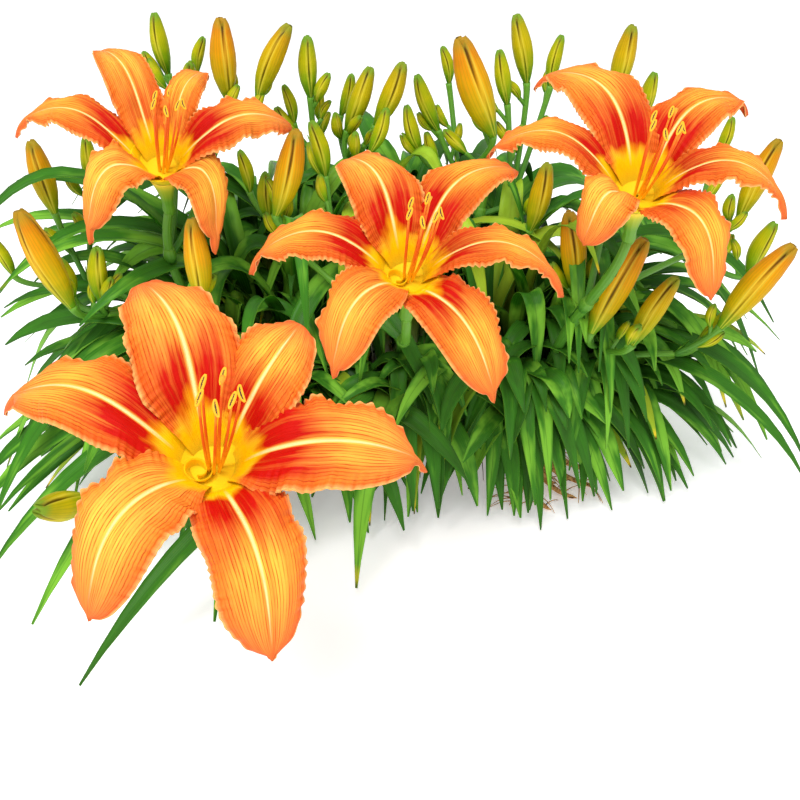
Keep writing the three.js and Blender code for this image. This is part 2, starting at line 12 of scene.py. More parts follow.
import bpy
import numpy as np
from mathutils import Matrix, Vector


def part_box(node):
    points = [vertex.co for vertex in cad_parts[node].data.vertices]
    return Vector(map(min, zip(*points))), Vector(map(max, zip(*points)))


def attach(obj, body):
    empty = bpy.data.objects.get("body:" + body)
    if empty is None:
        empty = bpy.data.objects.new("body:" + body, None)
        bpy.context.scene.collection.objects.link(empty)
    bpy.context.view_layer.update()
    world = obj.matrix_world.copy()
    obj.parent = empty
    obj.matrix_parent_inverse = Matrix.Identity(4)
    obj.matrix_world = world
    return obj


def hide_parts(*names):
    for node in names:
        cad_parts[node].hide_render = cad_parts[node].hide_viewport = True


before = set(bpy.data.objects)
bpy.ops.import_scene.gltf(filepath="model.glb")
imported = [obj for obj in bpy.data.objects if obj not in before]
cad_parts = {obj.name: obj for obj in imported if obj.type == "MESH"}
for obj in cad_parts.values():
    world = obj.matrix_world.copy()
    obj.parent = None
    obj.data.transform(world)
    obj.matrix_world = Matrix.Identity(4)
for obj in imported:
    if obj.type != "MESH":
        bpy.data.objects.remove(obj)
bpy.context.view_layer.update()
LOG = logging.getLogger("daylily")
MM = 0.001
CROWN_LOW, CROWN_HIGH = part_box("crown")
SHIFT = np.array([(CROWN_LOW[0] + CROWN_HIGH[0]) / 2, (CROWN_LOW[1] + CROWN_HIGH[1]) / 2, 0.0])
CROWN_TOP = CROWN_HIGH[2] / MM
SEAT_GAP = 0.3
TAU = 2 * math.pi
UP = np.array([0.0, 0.0, 1.0])
LEVEL = np.array([1.0, 1.0, 0.0])
MARK = "mark"
UNDERSIDE = 2.0
OWN_SHARE = 0.98
Array = np.ndarray
Material = bpy.types.Material
Socket = bpy.types.NodeSocket


# ---- Plain mathematics ------------------------------------------------------------------
def vec(*values: float) -> Array:
    """A point or direction as an array."""
    return np.array(values, float)


def unit(v: Array) -> Array:
    """The same direction with length one, along the last axis."""
    return v / np.maximum(np.linalg.norm(v, axis=-1, keepdims=True), 1e-12)


def level(angle: float, rise: float = 0.0) -> Array:
    """A direction along the surface, at an angle in radians from +X, with a rise."""
    return vec(math.cos(angle), math.sin(angle), rise)


def steps(count: int) -> Array:
    """Evenly spaced places from 0 to 1."""
    return np.linspace(0, 1, count)


def turns(count: int) -> Array:
    """Evenly spaced angles round a ring, in radians."""
    return np.arange(count) / count * TAU


def stacked(*values: Array | float) -> Array:
    """Values that are spread to one shape and laid side by side along a new last axis."""
    return np.stack(np.broadcast_arrays(*values), -1)


def chance(a: float, b: float) -> float:
    """A repeatable value from 0 to 1 for two numbers, as the construction uses it."""
    value = math.sin(a * 127.1 + b * 311.7) * 43758.5453
    return value - math.floor(value)


def mix(a: Array | float, b: Array | float, share: Array | float) -> Array | float:
    """The value that lies the given share of the way from a to b."""
    return a + (b - a) * share


def eased(share: Array) -> Array:
    """A rise that starts fast and slows down to stay at 1 where the share passes 1."""
    return np.sin(np.minimum(1, share) * math.pi / 2)


def bezier(points: list[Array], t: Array) -> tuple[Array, Array]:
    """A Bezier curve of any degree.

    Args:
        points: its control points.
        t: places along it, from 0 to 1.

    Returns:
        The points there and the unit tangents.
    """
    degree = len(points) - 1
    weights = [math.comb(degree, k) * (1 - t) ** (degree - k) * t ** k for k in range(degree + 1)]
    legs = [b - a for a, b in zip(points, points[1:])]
    slopes = [math.comb(degree - 1, k) * (1 - t) ** (degree - 1 - k) * t ** k for k in range(degree)]
    place = sum(w[:, None] * p for w, p in zip(weights, points))
    slope = sum(w[:, None] * p for w, p in zip(slopes, legs))
    return place, unit(slope)


def bell(x: Array, width: float) -> Array:
    """A smooth bump of height one at zero, with the given half width."""
    return np.exp(-(x / width) ** 2)


def tongue_share(t: Array) -> Array:
    """How far along the curling end of a tepal its places lie, from 0 to 1."""
    return np.clip((t - 0.91) / 0.09, 0, 1)


def normals(grid: Array) -> Array:
    """Unit normals of a surface of rows and columns of points."""
    return unit(np.cross(np.gradient(grid, axis=1), np.gradient(grid, axis=0)))


def frames_along(points: Array) -> tuple[Array, Array]:
    """Frames that follow a path and turn as little as possible along it.

    Args:
        points: the points of the path.

    Returns:
        Two unit normals at each of them, square to each other.
    """
    tangents = unit(np.gradient(points, axis=0))
    normal = vec(0, 1, 0) if abs(tangents[0][2]) > 0.8 else UP
    carried = []
    for tangent in tangents:
        normal = unit(normal - tangent * float(normal @ tangent))
        carried.append(normal)
    first = np.array(carried)
    return first, np.cross(tangents, first)


# ---- Mesh making ------------------------------------------------------------------------
def placed(name: str, data: bpy.types.ID) -> bpy.types.Object:
    """Put a mesh, lamp or camera into the scene.

    Args:
        name: what the object is called.
        data: the mesh, lamp or camera.

    Returns:
        The new object.
    """
    obj = bpy.data.objects.new(name, data)
    bpy.context.scene.collection.objects.link(obj)
    return obj


class Tissue:
    """Collects the sheets and limbs of one piece and turns them into one mesh.

    Every point carries a mark of three numbers that its finish reads: the place across the
    sheet or round the limb, the place along it, and a number for the single leaf or bud. The
    finishes read only the fraction of a leaf's or tepal's own number, which OWN_SHARE keeps
    below one, because UNDERSIDE is added to it on the underside.
    """

    def __init__(self) -> None:
        """Start with nothing."""
        self.points: list[Array] = []
        self.faces: list[Array] = []
        self.marks: list[Array] = []
        self.count = 0

    def _add(self, points: Array, faces: Array, marks: Array) -> None:
        """Append points with their marks and the faces between them.

        Args:
            points: the points, in any grouping.
            faces: quads, which number the points from 0.
            marks: three numbers for each point.
        """
        self.points.append(points.reshape(-1, 3))
        self.marks.append(marks.reshape(-1, 3))
        self.faces.append(faces.reshape(-1, 4) + self.count)
        self.count += points.size // 3

    def sheet(self, grid: Array, thickness: Array | float, marks: Array) -> None:
        """Add a thin closed sheet.

        Args:
            grid: its middle surface, rows along it and columns across it.
            thickness: in millimetres, one number or one for each point.
            marks: the marks of the grid's points, whose third number gets UNDERSIDE added below.
        """
        rows, columns = grid.shape[:2]
        half = normals(grid) * np.broadcast_to(np.asarray(thickness) / 2, (rows, columns))[..., None]
        size = rows * columns
        index = np.arange(size).reshape(rows, columns)
        a, b, c, d = index[:-1, :-1], index[1:, :-1], index[1:, 1:], index[:-1, 1:]
        top = np.stack([a, d, c, b], -1).reshape(-1, 4)
        bottom = np.stack([a, b, c, d], -1).reshape(-1, 4) + size
        rim = np.concatenate([index[0, :], index[1:, -1], index[-1, -2::-1], index[-2:0:-1, 0]])
        after = np.roll(rim, -1)
        wall = np.stack([rim, rim + size, after + size, after], -1)
        self._add(np.stack([grid + half, grid - half]), np.concatenate([top, bottom, wall]),
                  np.stack([marks, marks + UNDERSIDE * UP]))

    def tube(self, rings: Array, marks: Array) -> None:
        """Add a limb that is closed at both ends.

        Args:
            rings: its rings, each with the same even number of points.
            marks: three numbers for each point.
        """
        rows, columns = rings.shape[:2]
        index = np.arange(rows * columns).reshape(rows, columns)
        turned = np.roll(index, -1, axis=1)
        side = np.stack([index[:-1], turned[:-1], turned[1:], index[1:]], -1).reshape(-1, 4)
        k = np.arange(columns // 2 - 1)
        cap = np.stack([k, columns - 1 - k, columns - 2 - k, k + 1], -1)
        last = np.stack([k, k + 1, columns - 2 - k, columns - 1 - k], -1) + (rows - 1) * columns
        self._add(rings, np.concatenate([side, cap, last]), marks)

    def limb(self, path: Array, radius: Array, seed: float, sides: int = 10,
             ridge: Array | float = 0.0) -> None:
        """Add a round limb along a path.

        Args:
            path: the points of its middle line.
            radius: its radius at each of them.
            seed: the third number of its marks.
            sides: how many points a ring has.
            ridge: extra share of the radius at each point of each ring.
        """
        first, second = frames_along(path)
        turn = turns(sides)
        reach = radius[:, None] * (1 + ridge * np.ones((len(path), sides)))
        rings = path[:, None] + reach[..., None] * (
            np.cos(turn)[:, None] * first[:, None] + np.sin(turn)[:, None] * second[:, None])
        self.tube(rings, stacked(np.abs(turn / math.pi - 1), steps(len(path))[:, None], seed))

    def piece(self, name: str, material: Material, slot: str, *nodes: str) -> None:
        """Make the mesh object, ride it on the root body and let it stand for CAD nodes.

        Args:
            name: the piece's name.
            material: its finish.
            slot: the name of its kind of material, such as leaf; not used.
            nodes: the CAD nodes that it replaces.
        """
        points = np.concatenate(self.points) * MM + SHIFT
        faces = np.concatenate(self.faces)
        mesh = bpy.data.meshes.new(name)
        mesh.vertices.add(len(points))
        mesh.vertices.foreach_set("co", points.ravel())
        mesh.loops.add(faces.size)
        mesh.loops.foreach_set("vertex_index", faces.ravel().astype(np.int32))
        mesh.polygons.add(len(faces))
        mesh.polygons.foreach_set("loop_start", np.arange(0, faces.size, 4, dtype=np.int32))
        mesh.polygons.foreach_set("use_smooth", np.ones(len(faces), bool))
        mark = mesh.attributes.new(MARK, "FLOAT_VECTOR", "POINT")
        mark.data.foreach_set("vector", np.concatenate(self.marks).ravel())
        mesh.update(calc_edges=True)
        mesh.validate()
        mesh.materials.append(material)
        obj = placed(name, mesh)
        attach(obj, "root")
        if nodes:
            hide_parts(*nodes)
        LOG.info("%s: %d faces", name, len(faces))


# ---- Finishes ---------------------------------------------------------------------------
def srgb(code: str) -> tuple[float, float, float, float]:
    """Turn a colour as it is seen into one that Blender reckons with.

    Args:
        code: the sRGB colour in hex, as #RRGGBB.

    Returns:
        Its linear red, green and blue, and full alpha.
    """
    parts = [int(code[k:k + 2], 16) / 255 for k in (1, 3, 5)]
    linear = [c / 12.92 if c <= 0.04045 else ((c + 0.055) / 1.055) ** 2.4 for c in parts]
    return (*linear, 1.0)


class Ink:
    """A material whose node tree grows one node at a time."""

    def __init__(self, name: str) -> None:
        """Start a material with an empty node tree.

        Args:
            name: what the material is called.
        """
        self.material = bpy.data.materials.new(name)
        self.material.use_nodes = True
        self.tree = self.material.node_tree
        self.tree.nodes.clear()

    def add(self, kind: str, inputs: dict[int | str, Any] | None = None, out: int | str = 0,
            **settings: Any) -> Socket | None:
        """Add a node, set it up and link it.

        Args:
            kind: Blender's name of the node, without its leading ShaderNode.
            inputs: for each input, by number or name, the socket that feeds it or a value, a
                colour as its hex code. A MapRange has its value at 0, what it maps from at 1 and
                2 and what to at 3 and 4. A colour Mix has its share at 0, its colours at 6 and 7.
            out: which output to hand back.
            settings: its properties; ramp gives a colour ramp's stops as (place, colour).

        Returns:
            The chosen output socket, or none where the node has no output.
        """
        node = self.tree.nodes.new("ShaderNode" + kind)
        for key, value in settings.items():
            if key == "ramp":
                stops = node.color_ramp.elements
                stops.remove(stops[1])
                for number, (place, colour) in enumerate(value):
                    stop = stops.new(place) if number else stops[0]
                    stop.position = place
                    stop.color = srgb(colour) if isinstance(colour, str) else (colour, colour, colour, 1)
            else:
                setattr(node, key, value)
        for key, value in (inputs or {}).items():
            if isinstance(value, Socket):
                self.tree.links.new(value, node.inputs[key])
            else:
                node.inputs[key].default_value = srgb(value) if isinstance(value, str) else value
        return node.outputs[out] if node.outputs else None

    def grains(self, place: Socket, span: tuple[float, float], grain: tuple[float, float], apart: float,
               detail: float = 3.0) -> Socket:
        """Noise over the marks of a surface, with grains of a real size.

        Args:
            place: the marks.
            span: how many millimetres the marks cover from 0 to 1, across and along.
            grain: the size of a grain in millimetres, across and along.
            apart: how far the patterns of two leaves or buds lie from each other.
            detail: how much finer noise each grain holds.

        Returns:
            The noise.
        """
        factors = (span[0] / grain[0], span[1] / grain[1], apart)
        stretched = self.add("VectorMath", {0: place, 1: factors}, operation="MULTIPLY")
        return self.add("TexNoise", {"Vector": stretched, "Scale": 1.0, "Detail": detail})

    def mottle(self, grain: float, detail: float = 3.0) -> Socket:
        """Noise through space, with grains of a real size in millimetres."""
        position = self.add("NewGeometry", out="Position")
        return self.add("TexNoise", {"Vector": position, "Scale": 1 / (grain * MM), "Detail": detail})

    def mark(self) -> tuple[Socket, ...]:
        """Read the marks of the surface.

        Returns:
            Three sockets: across, along and the number of the leaf or bud.
        """
        vector = self.add("Attribute", out="Vector", attribute_name=MARK)
        split = self.add("SeparateXYZ", {0: vector}).node
        return tuple(split.outputs)

    def close(self, **surface: Any) -> Material:
        """Finish with a Principled surface.

        Args:
            surface: a value, hex colour or socket for each input, whose name has _ for a space.

        Returns:
            The finished material.
        """
        named = {key.replace("_", " "): value for key, value in surface.items()}
        shader = self.add("BsdfPrincipled", named)
        self.add("OutputMaterial", {"Surface": shader})
        return self.material


@dataclass(frozen=True)
class TepalSkin:
    """Petal tissue: thin, velvety and slightly translucent, with sunken veins.

    The pale raised midrib, the red eye and the yellow throat give the flower its drawing;
    the fine darker veins and the pale frill keep the orange from looking flat. The pale frill is
    partly the edge's own paler colour and partly a painted highlight. The mark's third number says
    how red the eye is. Span, the half width and the length of a tepal, and the sizes of the
    patterns are millimetres, across it and then along it. The veins would be too fine to see, so
    they are drawn as coarse as they need to show.
    """

    light: str
    deep: str
    vein: str = "#B23C0C"
    eye: str = "#B80C00"
    throat: str = "#FAC400"
    gullet: str = "#D6C82E"
    rib: str = "#FFDE9A"
    # The pale edge colour, partly a painted highlight on the frill.
    rim: str = "#FFC878"
    tip: str = "#E25A30"
    span: tuple[float, float] = (18.0, 75.0)
    vein_spacing: float = 1.2
    streak: tuple[float, float] = (2.0, 50.0)
    blotch: tuple[float, float] = (8.2, 18.75)
    vein_gap: tuple[float, float] = (1.29, 8.33)
    crinkle: tuple[float, float] = (0.5, 12.5)

    def make(self, name: str) -> Material:
        """Build the material.

        Args:
            name: what the material is called.

        Returns:
            The finished material.
        """
        ink = Ink(name)
        across, along, redness = ink.mark()
        side = ink.add("Math", {0: across}, operation="ABSOLUTE")
        redness = ink.add("Math", {0: redness}, operation="FRACT")
        place = ink.add("CombineXYZ", {0: across, 1: along, 2: redness})
        streak = ink.grains(place, self.span, self.streak, 37)
        blotches = ink.grains(place, self.span, self.blotch, 19, 2.0)
        waver = ink.add("MapRange", {0: blotches, 3: -0.12, 4: 0.12})
        waved = ink.add("Math", {0: along, 1: waver}, operation="ADD")

        vein_at = ink.add("Math", {0: waver, 1: 0.32, 2: side}, operation="MULTIPLY_ADD")
        wave = ink.add("Math", {0: vein_at, 1: self.span[0] / self.vein_spacing * TAU}, operation="MULTIPLY")
        wave = ink.add("Math", {0: wave}, operation="SINE")
        veins = ink.add("MapRange", {0: wave, 1: 0.5, 2: 1.0})
        broken = ink.grains(place, self.span, self.vein_gap, 23)
        broken = ink.add("MapRange", {0: broken, 1: 0.38, 2: 0.62, 3: 0.2, 4: 0.95})
        veins = ink.add("Math", {0: veins, 1: broken}, operation="MULTIPLY")

        eye_along = ink.add("ValToRGB", {0: waved}, ramp=[
            (0.2, 0.0), (0.28, 1.0), (0.43, 1.0), (0.56, 0.68), (0.7, 0.3), (0.86, 0.0)])
        eye_across = ink.add("ValToRGB", {0: side}, ramp=[(0.02, 0.15), (0.1, 1.0), (0.6, 1.0), (1.0, 0.3)])
        strength = ink.add("MapRange", {0: streak, 1: 0.34, 2: 0.6, 3: 0.94, 4: 1.28})
        eye = ink.add("Math", {0: eye_along, 1: eye_across}, operation="MULTIPLY")
        eye = ink.add("Math", {0: eye, 1: strength}, operation="MULTIPLY")
        eye = ink.add("Math", {0: eye, 1: redness}, operation="MULTIPLY", use_clamp=True)

        lead = ink.add("MapRange", {0: side, 1: 0.0, 2: 0.9, 3: -0.05, 4: 0.05})
        depth = ink.add("Math", {0: waved, 1: lead}, operation="ADD")
        in_throat = ink.add("ValToRGB", {0: depth}, ramp=[(0.19, 1.0), (0.3, 0.0)])
        yellow = ink.add("ValToRGB", {0: along}, ramp=[(0.02, self.gullet), (0.16, self.throat)])

        rib_edge = ink.add("MapRange", {0: along, 1: 0.1, 2: 1.0, 3: 0.074, 4: 0.032})
        rib = ink.add("Math", {0: side, 1: rib_edge}, operation="DIVIDE")
        rib = ink.add("ValToRGB", {0: rib}, ramp=[(0.3, 1.0), (1.0, 0.0)])
        rib_along = ink.add("ValToRGB", {0: along}, ramp=[(0.16, 0.0), (0.3, 0.9), (0.84, 0.8), (0.97, 0.0)])
        rib = ink.add("Math", {0: rib, 1: rib_along}, operation="MULTIPLY")

        # The pale rim on the frilled edge: partly the edge's own paler colour, partly a painted highlight.
        frill = ink.add("MapRange", {0: side, 1: 0.9, 2: 1.0, 3: 0.0, 4: 0.7})
        beyond = ink.add("MapRange", {0: along, 1: 0.3, 2: 0.45})
        frill = ink.add("Math", {0: frill, 1: beyond}, operation="MULTIPLY")

        body = ink.add("ValToRGB", {0: side}, ramp=[(0.0, self.light), (0.42, self.light), (0.92, self.deep)])
        streaky = ink.add("MapRange", {0: streak, 1: 0.45, 2: 0.7, 3: 0.0, 4: 0.45})
        at_tip = ink.add("MapRange", {0: along, 1: 0.7, 2: 1.0, 3: 0.0, 4: 0.85})
        for share, colour in ((streaky, self.deep), (at_tip, self.tip), (veins, self.vein), (eye, self.eye),
                              (in_throat, yellow), (rib, self.rib), (frill, self.rim)):
            body = ink.add("Mix", {0: share, 6: body, 7: colour}, 2, data_type="RGBA")

        crinkle = ink.grains(place, self.span, self.crinkle, 148, 4.0)
        relief = ink.add("Math", {0: veins, 1: -0.5, 2: crinkle}, operation="MULTIPLY_ADD")
        bump = ink.add("Bump", {"Strength": 0.6, "Distance": 0.6 * MM, "Height": relief})
        return ink.close(Base_Color=body, Roughness=0.55, IOR=1.4, Specular_IOR_Level=0.14, Normal=bump,
                         Subsurface_Weight=0.15, Subsurface_Radius=(1.0, 0.35, 0.08),
                         Subsurface_Scale=2 * MM)


@dataclass(frozen=True)
class LeafSkin:
    """Strap leaf: a satin, slightly waxy green with fine parallel veins.

    The veins are pale hairlines, partly their own colour and partly a painted highlight, and the
    blanched base and dry tips break up the green. The bright streaks along the blades are partly a
    painted sheen, and painted shade darkens the midrib's crease and the blades low in the mound.
    Span, the half width and the length of a leaf, and the sizes of the patterns are millimetres,
    across it and then along it. The veins are drawn as coarse as they need to show.
    """

    dark: str = "#062C02"
    middle: str = "#226406"
    # The colour of bright leaves, also used for a painted sheen and for the vein highlights.
    bright_and_sheen: str = "#84C236"
    pale: str = "#A8BC2C"
    under: str = "#4C8630"
    shaded: str = "#061F06"
    base: str = "#F1EED6"
    young: str = "#B4D472"
    dry: str = "#D8C02C"
    scorched: str = "#4A2A14"
    span: tuple[float, float] = (6.0, 150.0)
    vein_spacing: float = 1.0
    streak: tuple[float, float] = (13.3, 37.5)

    def make(self, name: str) -> Material:
        """Build the material.

        Args:
            name: what the material is called.

        Returns:
            The finished material.
        """
        ink = Ink(name)
        across, along, seed = ink.mark()
        side = ink.add("Math", {0: across}, operation="ABSOLUTE")
        below = ink.add("Math", {0: seed, 1: 0.75 * UNDERSIDE}, operation="GREATER_THAN")
        own = ink.add("Math", {0: seed}, operation="FRACT")
        place = ink.add("CombineXYZ", {0: across, 1: along, 2: own})
        # Each leaf gets its own tone from dark to bright. The bright end and the streaks along the blade are
        # partly a painted sheen.
        streak = ink.grains(place, self.span, self.streak, 53)
        banded = ink.add("MapRange", {0: streak, 1: 0.3, 2: 0.7, 3: 0.16, 4: 0.84})
        shade = ink.add("Math", {0: own, 1: 0.45, 2: banded}, operation="MULTIPLY_ADD")
        # The pale vein lines are partly the veins' own colour and partly a painted highlight.
        wave = ink.add("Math", {0: side, 1: self.span[0] / self.vein_spacing * TAU}, operation="MULTIPLY")
        wave = ink.add("Math", {0: wave}, operation="COSINE")
        veins = ink.add("MapRange", {0: wave, 1: 0.2, 2: 1.0, 3: 0.0, 4: 0.1})
        # Painted shade: a dark line along the crease of the midrib.
        crease_shade = ink.add("MapRange", {0: side, 1: 0.0, 2: 0.12, 3: 0.45, 4: 0.0})
        paler = ink.add("Math", {0: below, 1: 0.35}, operation="MULTIPLY")
        pale = ink.add("MapRange", {0: own, 1: 0.93, 2: 0.95, 3: 0.0, 4: 0.7})

        # Painted shade: the blades darken towards their bases and low down in the mound, where the leaves
        # above would shade them.
        position = ink.add("NewGeometry", out="Position")
        height = ink.add("SeparateXYZ", {0: position}, 2)
        inner = ink.add("MapRange", {0: along, 1: 0.12, 2: 0.66, 3: 1.0, 4: 0.0})
        deep = ink.add("MapRange", {0: height, 1: 0.05, 2: 0.16, 3: 1.0, 4: 0.5})
        painted_shade_low = ink.add("Math", {0: inner, 1: deep}, operation="MULTIPLY")
        painted_shade_low = ink.add("Math", {0: painted_shade_low, 1: 0.85}, operation="MULTIPLY")

        root_end = ink.add("ValToRGB", {0: along}, ramp=[(0.0, 1.0), (0.06, 0.8), (0.14, 0.0)])
        blanch = ink.add("ValToRGB", {0: along}, ramp=[
            (0.0, self.base), (0.05, self.base), (0.1, self.young)])
        dry = ink.add("ValToRGB", {0: along}, ramp=[(0.955, 0.0), (0.975, 1.0)])
        aged = ink.add("MapRange", {0: own, 1: 0.87, 2: 0.92})
        dry = ink.add("Math", {0: dry, 1: aged}, operation="MULTIPLY")
        ending = ink.add("ValToRGB", {0: along}, ramp=[
            (0.96, self.dry), (0.985, self.dry), (0.995, self.scorched)])

        green = ink.add("ValToRGB", {0: shade}, ramp=[
            (0.36, self.dark), (0.76, self.middle), (1.0, self.bright_and_sheen)])
        for share, colour in ((veins, self.bright_and_sheen), (crease_shade, self.dark), (paler, self.under), (pale, self.pale),
                              (painted_shade_low, self.shaded), (root_end, blanch), (dry, ending)):
            green = ink.add("Mix", {0: share, 6: green, 7: colour}, 2, data_type="RGBA")
        relief = ink.add("Math", {0: veins, 1: streak}, operation="ADD")
        bump = ink.add("Bump", {"Strength": 0.35, "Distance": 0.5 * MM, "Height": relief})
        return ink.close(Base_Color=green, Roughness=0.36, IOR=1.45, Specular_IOR_Level=0.1, Normal=bump)


@dataclass(frozen=True)
class BudSkin:
    """Closed bud: smooth and slightly waxy, green when small and orange when about to open.

    The dark grooves between its folded sepals, painted shade in the recess, are what makes it
    read as a bud; the pale lips beside them are partly the sepals' own paler edges and partly a
    painted highlight. The mottle's grain is in millimetres, and the faint lines on each half of a
    sepal lie about 1 mm apart.
    """

    green: tuple[str, ...] = ("#3E7A0E", "#7C9C0A", "#AEA80A", "#8A980E")
    ripe: tuple[str, ...] = ("#5E8C10", "#BCA006", "#D09008", "#C46E10")
    stops: tuple[float, ...] = (0.05, 0.32, 0.66, 1.0)
    # The colour of the painted shade in the grooves.
    groove: str = "#422A05"
    lip: str = "#E9D548"
    tip: str = "#5E8C2A"
    mottle: float = 6.25
    lines: int = 5

    def make(self, name: str) -> Material:
        """Build the material.

        Args:
            name: what the material is called.

        Returns:
            The finished material.
        """
        ink = Ink(name)
        groove, along, ripeness = ink.mark()
        shifted = ink.add("MapRange", {0: ink.mottle(self.mottle), 3: -0.14, 4: 0.14})
        height = ink.add("Math", {0: along, 1: shifted}, operation="ADD")
        young = ink.add("ValToRGB", {0: height}, ramp=list(zip(self.stops, self.green)))
        ripe = ink.add("ValToRGB", {0: height}, ramp=list(zip(self.stops, self.ripe)))

        lines = ink.add("Math", {0: groove, 1: self.lines * TAU}, operation="MULTIPLY")
        lines = ink.add("Math", {0: lines}, operation="SINE")
        lines = ink.add("MapRange", {0: lines, 1: 0.2, 2: 1.0, 3: 0.0, 4: 0.22})
        at_tip = ink.add("ValToRGB", {0: along}, ramp=[(0.88, 0.0), (0.97, 0.8)])
        unripe = ink.add("MapRange", {0: ripeness, 3: 1.0, 4: 0.5})
        at_tip = ink.add("Math", {0: at_tip, 1: unripe}, operation="MULTIPLY")
        # The pale lips beside each groove: partly the sepals' own paler edges, partly a painted highlight.
        lip = ink.add("ValToRGB", {0: groove}, ramp=[(0.1, 0.0), (0.18, 0.45), (0.36, 0.0)])
        # Painted shade: a dark line down each groove between two sepals, wider towards the tip and faint at
        # the foot.
        parting = ink.add("MapRange", {0: along, 1: 0.55, 2: 1.0, 3: 1.0, 4: 0.35})
        parting = ink.add("Math", {0: groove, 1: parting}, operation="MULTIPLY")
        groove_shade = ink.add("ValToRGB", {0: parting}, ramp=[(0.04, 1.0), (0.08, 0.55), (0.14, 0.0)])
        open_part = ink.add("MapRange", {0: along, 1: 0.08, 2: 0.35, 3: 0.15, 4: 0.85})
        groove_shade = ink.add("Math", {0: groove_shade, 1: open_part}, operation="MULTIPLY")

        body = young
        for share, colour in ((ripeness, ripe), (lines, self.green[0]), (at_tip, self.tip),
                              (lip, self.lip), (groove_shade, self.groove)):
            body = ink.add("Mix", {0: share, 6: body, 7: colour}, 2, data_type="RGBA")
        bump = ink.add("Bump", {"Strength": 0.3, "Distance": 0.4 * MM, "Height": lines})
        return ink.close(Base_Color=body, Roughness=0.45, IOR=1.45, Specular_IOR_Level=0.1, Normal=bump)


@dataclass(frozen=True)
class StalkSkin:
    """Flower stalk: smooth firm green that turns yellow where the flower's tube begins.

    The mark's third number is 0 on the stalk and runs from 1 to 2 up the tube. The mottle's
    grain is in millimetres, and the low ridges round a stalk lie about 2 mm apart.
    """

    low: str = "#387420"
    high: str = "#5E9426"
    tube_low: str = "#A8B42C"
    tube_high: str = "#FFD83A"
    ridges: int = 9
    mottle: float = 4.17

    def make(self, name: str) -> Material:
        """Build the material.

        Args:
            name: what the material is called.

        Returns:
            The finished material.
        """
        ink = Ink(name)
        around, along, kind = ink.mark()
        height = ink.add("MapRange", {0: ink.mottle(self.mottle), 3: -0.2, 4: 0.2})
        height = ink.add("Math", {0: along, 1: height}, operation="ADD")
        body = ink.add("ValToRGB", {0: height}, ramp=[(0.1, self.low), (1.0, self.high)])
        on_tube = ink.add("MapRange", {0: kind, 1: 1.0, 2: 2.0})
        tube = ink.add("ValToRGB", {0: on_tube},
                       ramp=[(0.3, self.high), (0.7, self.tube_low), (1.0, self.tube_high)])
        is_tube = ink.add("MapRange", {0: kind, 1: 0.5, 2: 1.0})
        body = ink.add("Mix", {0: is_tube, 6: body, 7: tube}, 2, data_type="RGBA")
        ridges = ink.add("Math", {0: around, 1: self.ridges * math.pi}, operation="MULTIPLY")
        ridges = ink.add("Math", {0: ridges}, operation="SINE")
        bump = ink.add("Bump", {"Strength": 0.25, "Distance": 0.3 * MM, "Height": ridges})
        return ink.close(Base_Color=body, Roughness=0.42, IOR=1.45, Specular_IOR_Level=0.35, Normal=bump)


@dataclass(frozen=True)
class FilamentSkin:
    """Stamen filament and style: a moist thread, yellow in the throat and orange-red above.

    The mottle's grain is in millimetres.
    """

    low: str = "#FFC61C"
    high: str = "#E05C14"
    end: str = "#F09C28"
    mottle: float = 2.0

    def make(self, name: str) -> Material:
        """Build the material.

        Args:
            name: what the material is called.

        Returns:
            The finished material.
        """
        ink = Ink(name)
        _, along, _ = ink.mark()
        shifted = ink.add("MapRange", {0: ink.mottle(self.mottle, 2.0), 3: -0.1, 4: 0.1})
        height = ink.add("Math", {0: along, 1: shifted}, operation="ADD")
        stops = [(0.12, self.low), (0.5, self.high), (0.8, self.high), (1.0, self.end)]
        body = ink.add("ValToRGB", {0: height}, ramp=stops)
        return ink.close(Base_Color=body, Roughness=0.45, IOR=1.4, Specular_IOR_Level=0.35)


@dataclass(frozen=True)
class PollenSac:
    """Anther: dusty yellow lips around a dark brown slit, which draws it as a thin loop.

    The grain of its pollen is in millimetres. Real pollen is finer, so it is drawn as coarse as
    it needs to show.
    """

    lip: str = "#F2AE12"
    slit: str = "#33200C"
    grain: float = 0.4

    def make(self, name: str) -> Material:
        """Build the material.

        Args:
            name: what the material is called.

        Returns:
            The finished material.
        """
        ink = Ink(name)
        around, along, _ = ink.mark()
        grain = ink.mottle(self.grain)
        rough = ink.add("MapRange", {0: grain, 3: -0.12, 4: 0.12})
        lateral = ink.add("Math", {0: around, 1: rough}, operation="ADD")
        slit = ink.add("ValToRGB", {0: lateral}, ramp=[(0.08, 1.0), (0.17, 0.0)])
        within = ink.add("ValToRGB", {0: along}, ramp=[(0.08, 0.0), (0.2, 1.0), (0.8, 1.0), (0.93, 0.0)])
        slit = ink.add("Math", {0: slit, 1: within}, operation="MULTIPLY")
        body = ink.add("Mix", {0: slit, 6: self.lip, 7: self.slit}, 2, data_type="RGBA")
        bump = ink.add("Bump", {"Strength": 0.6, "Distance": 0.2 * MM, "Height": grain})
        return ink.close(Base_Color=body, Roughness=0.75, Normal=bump)


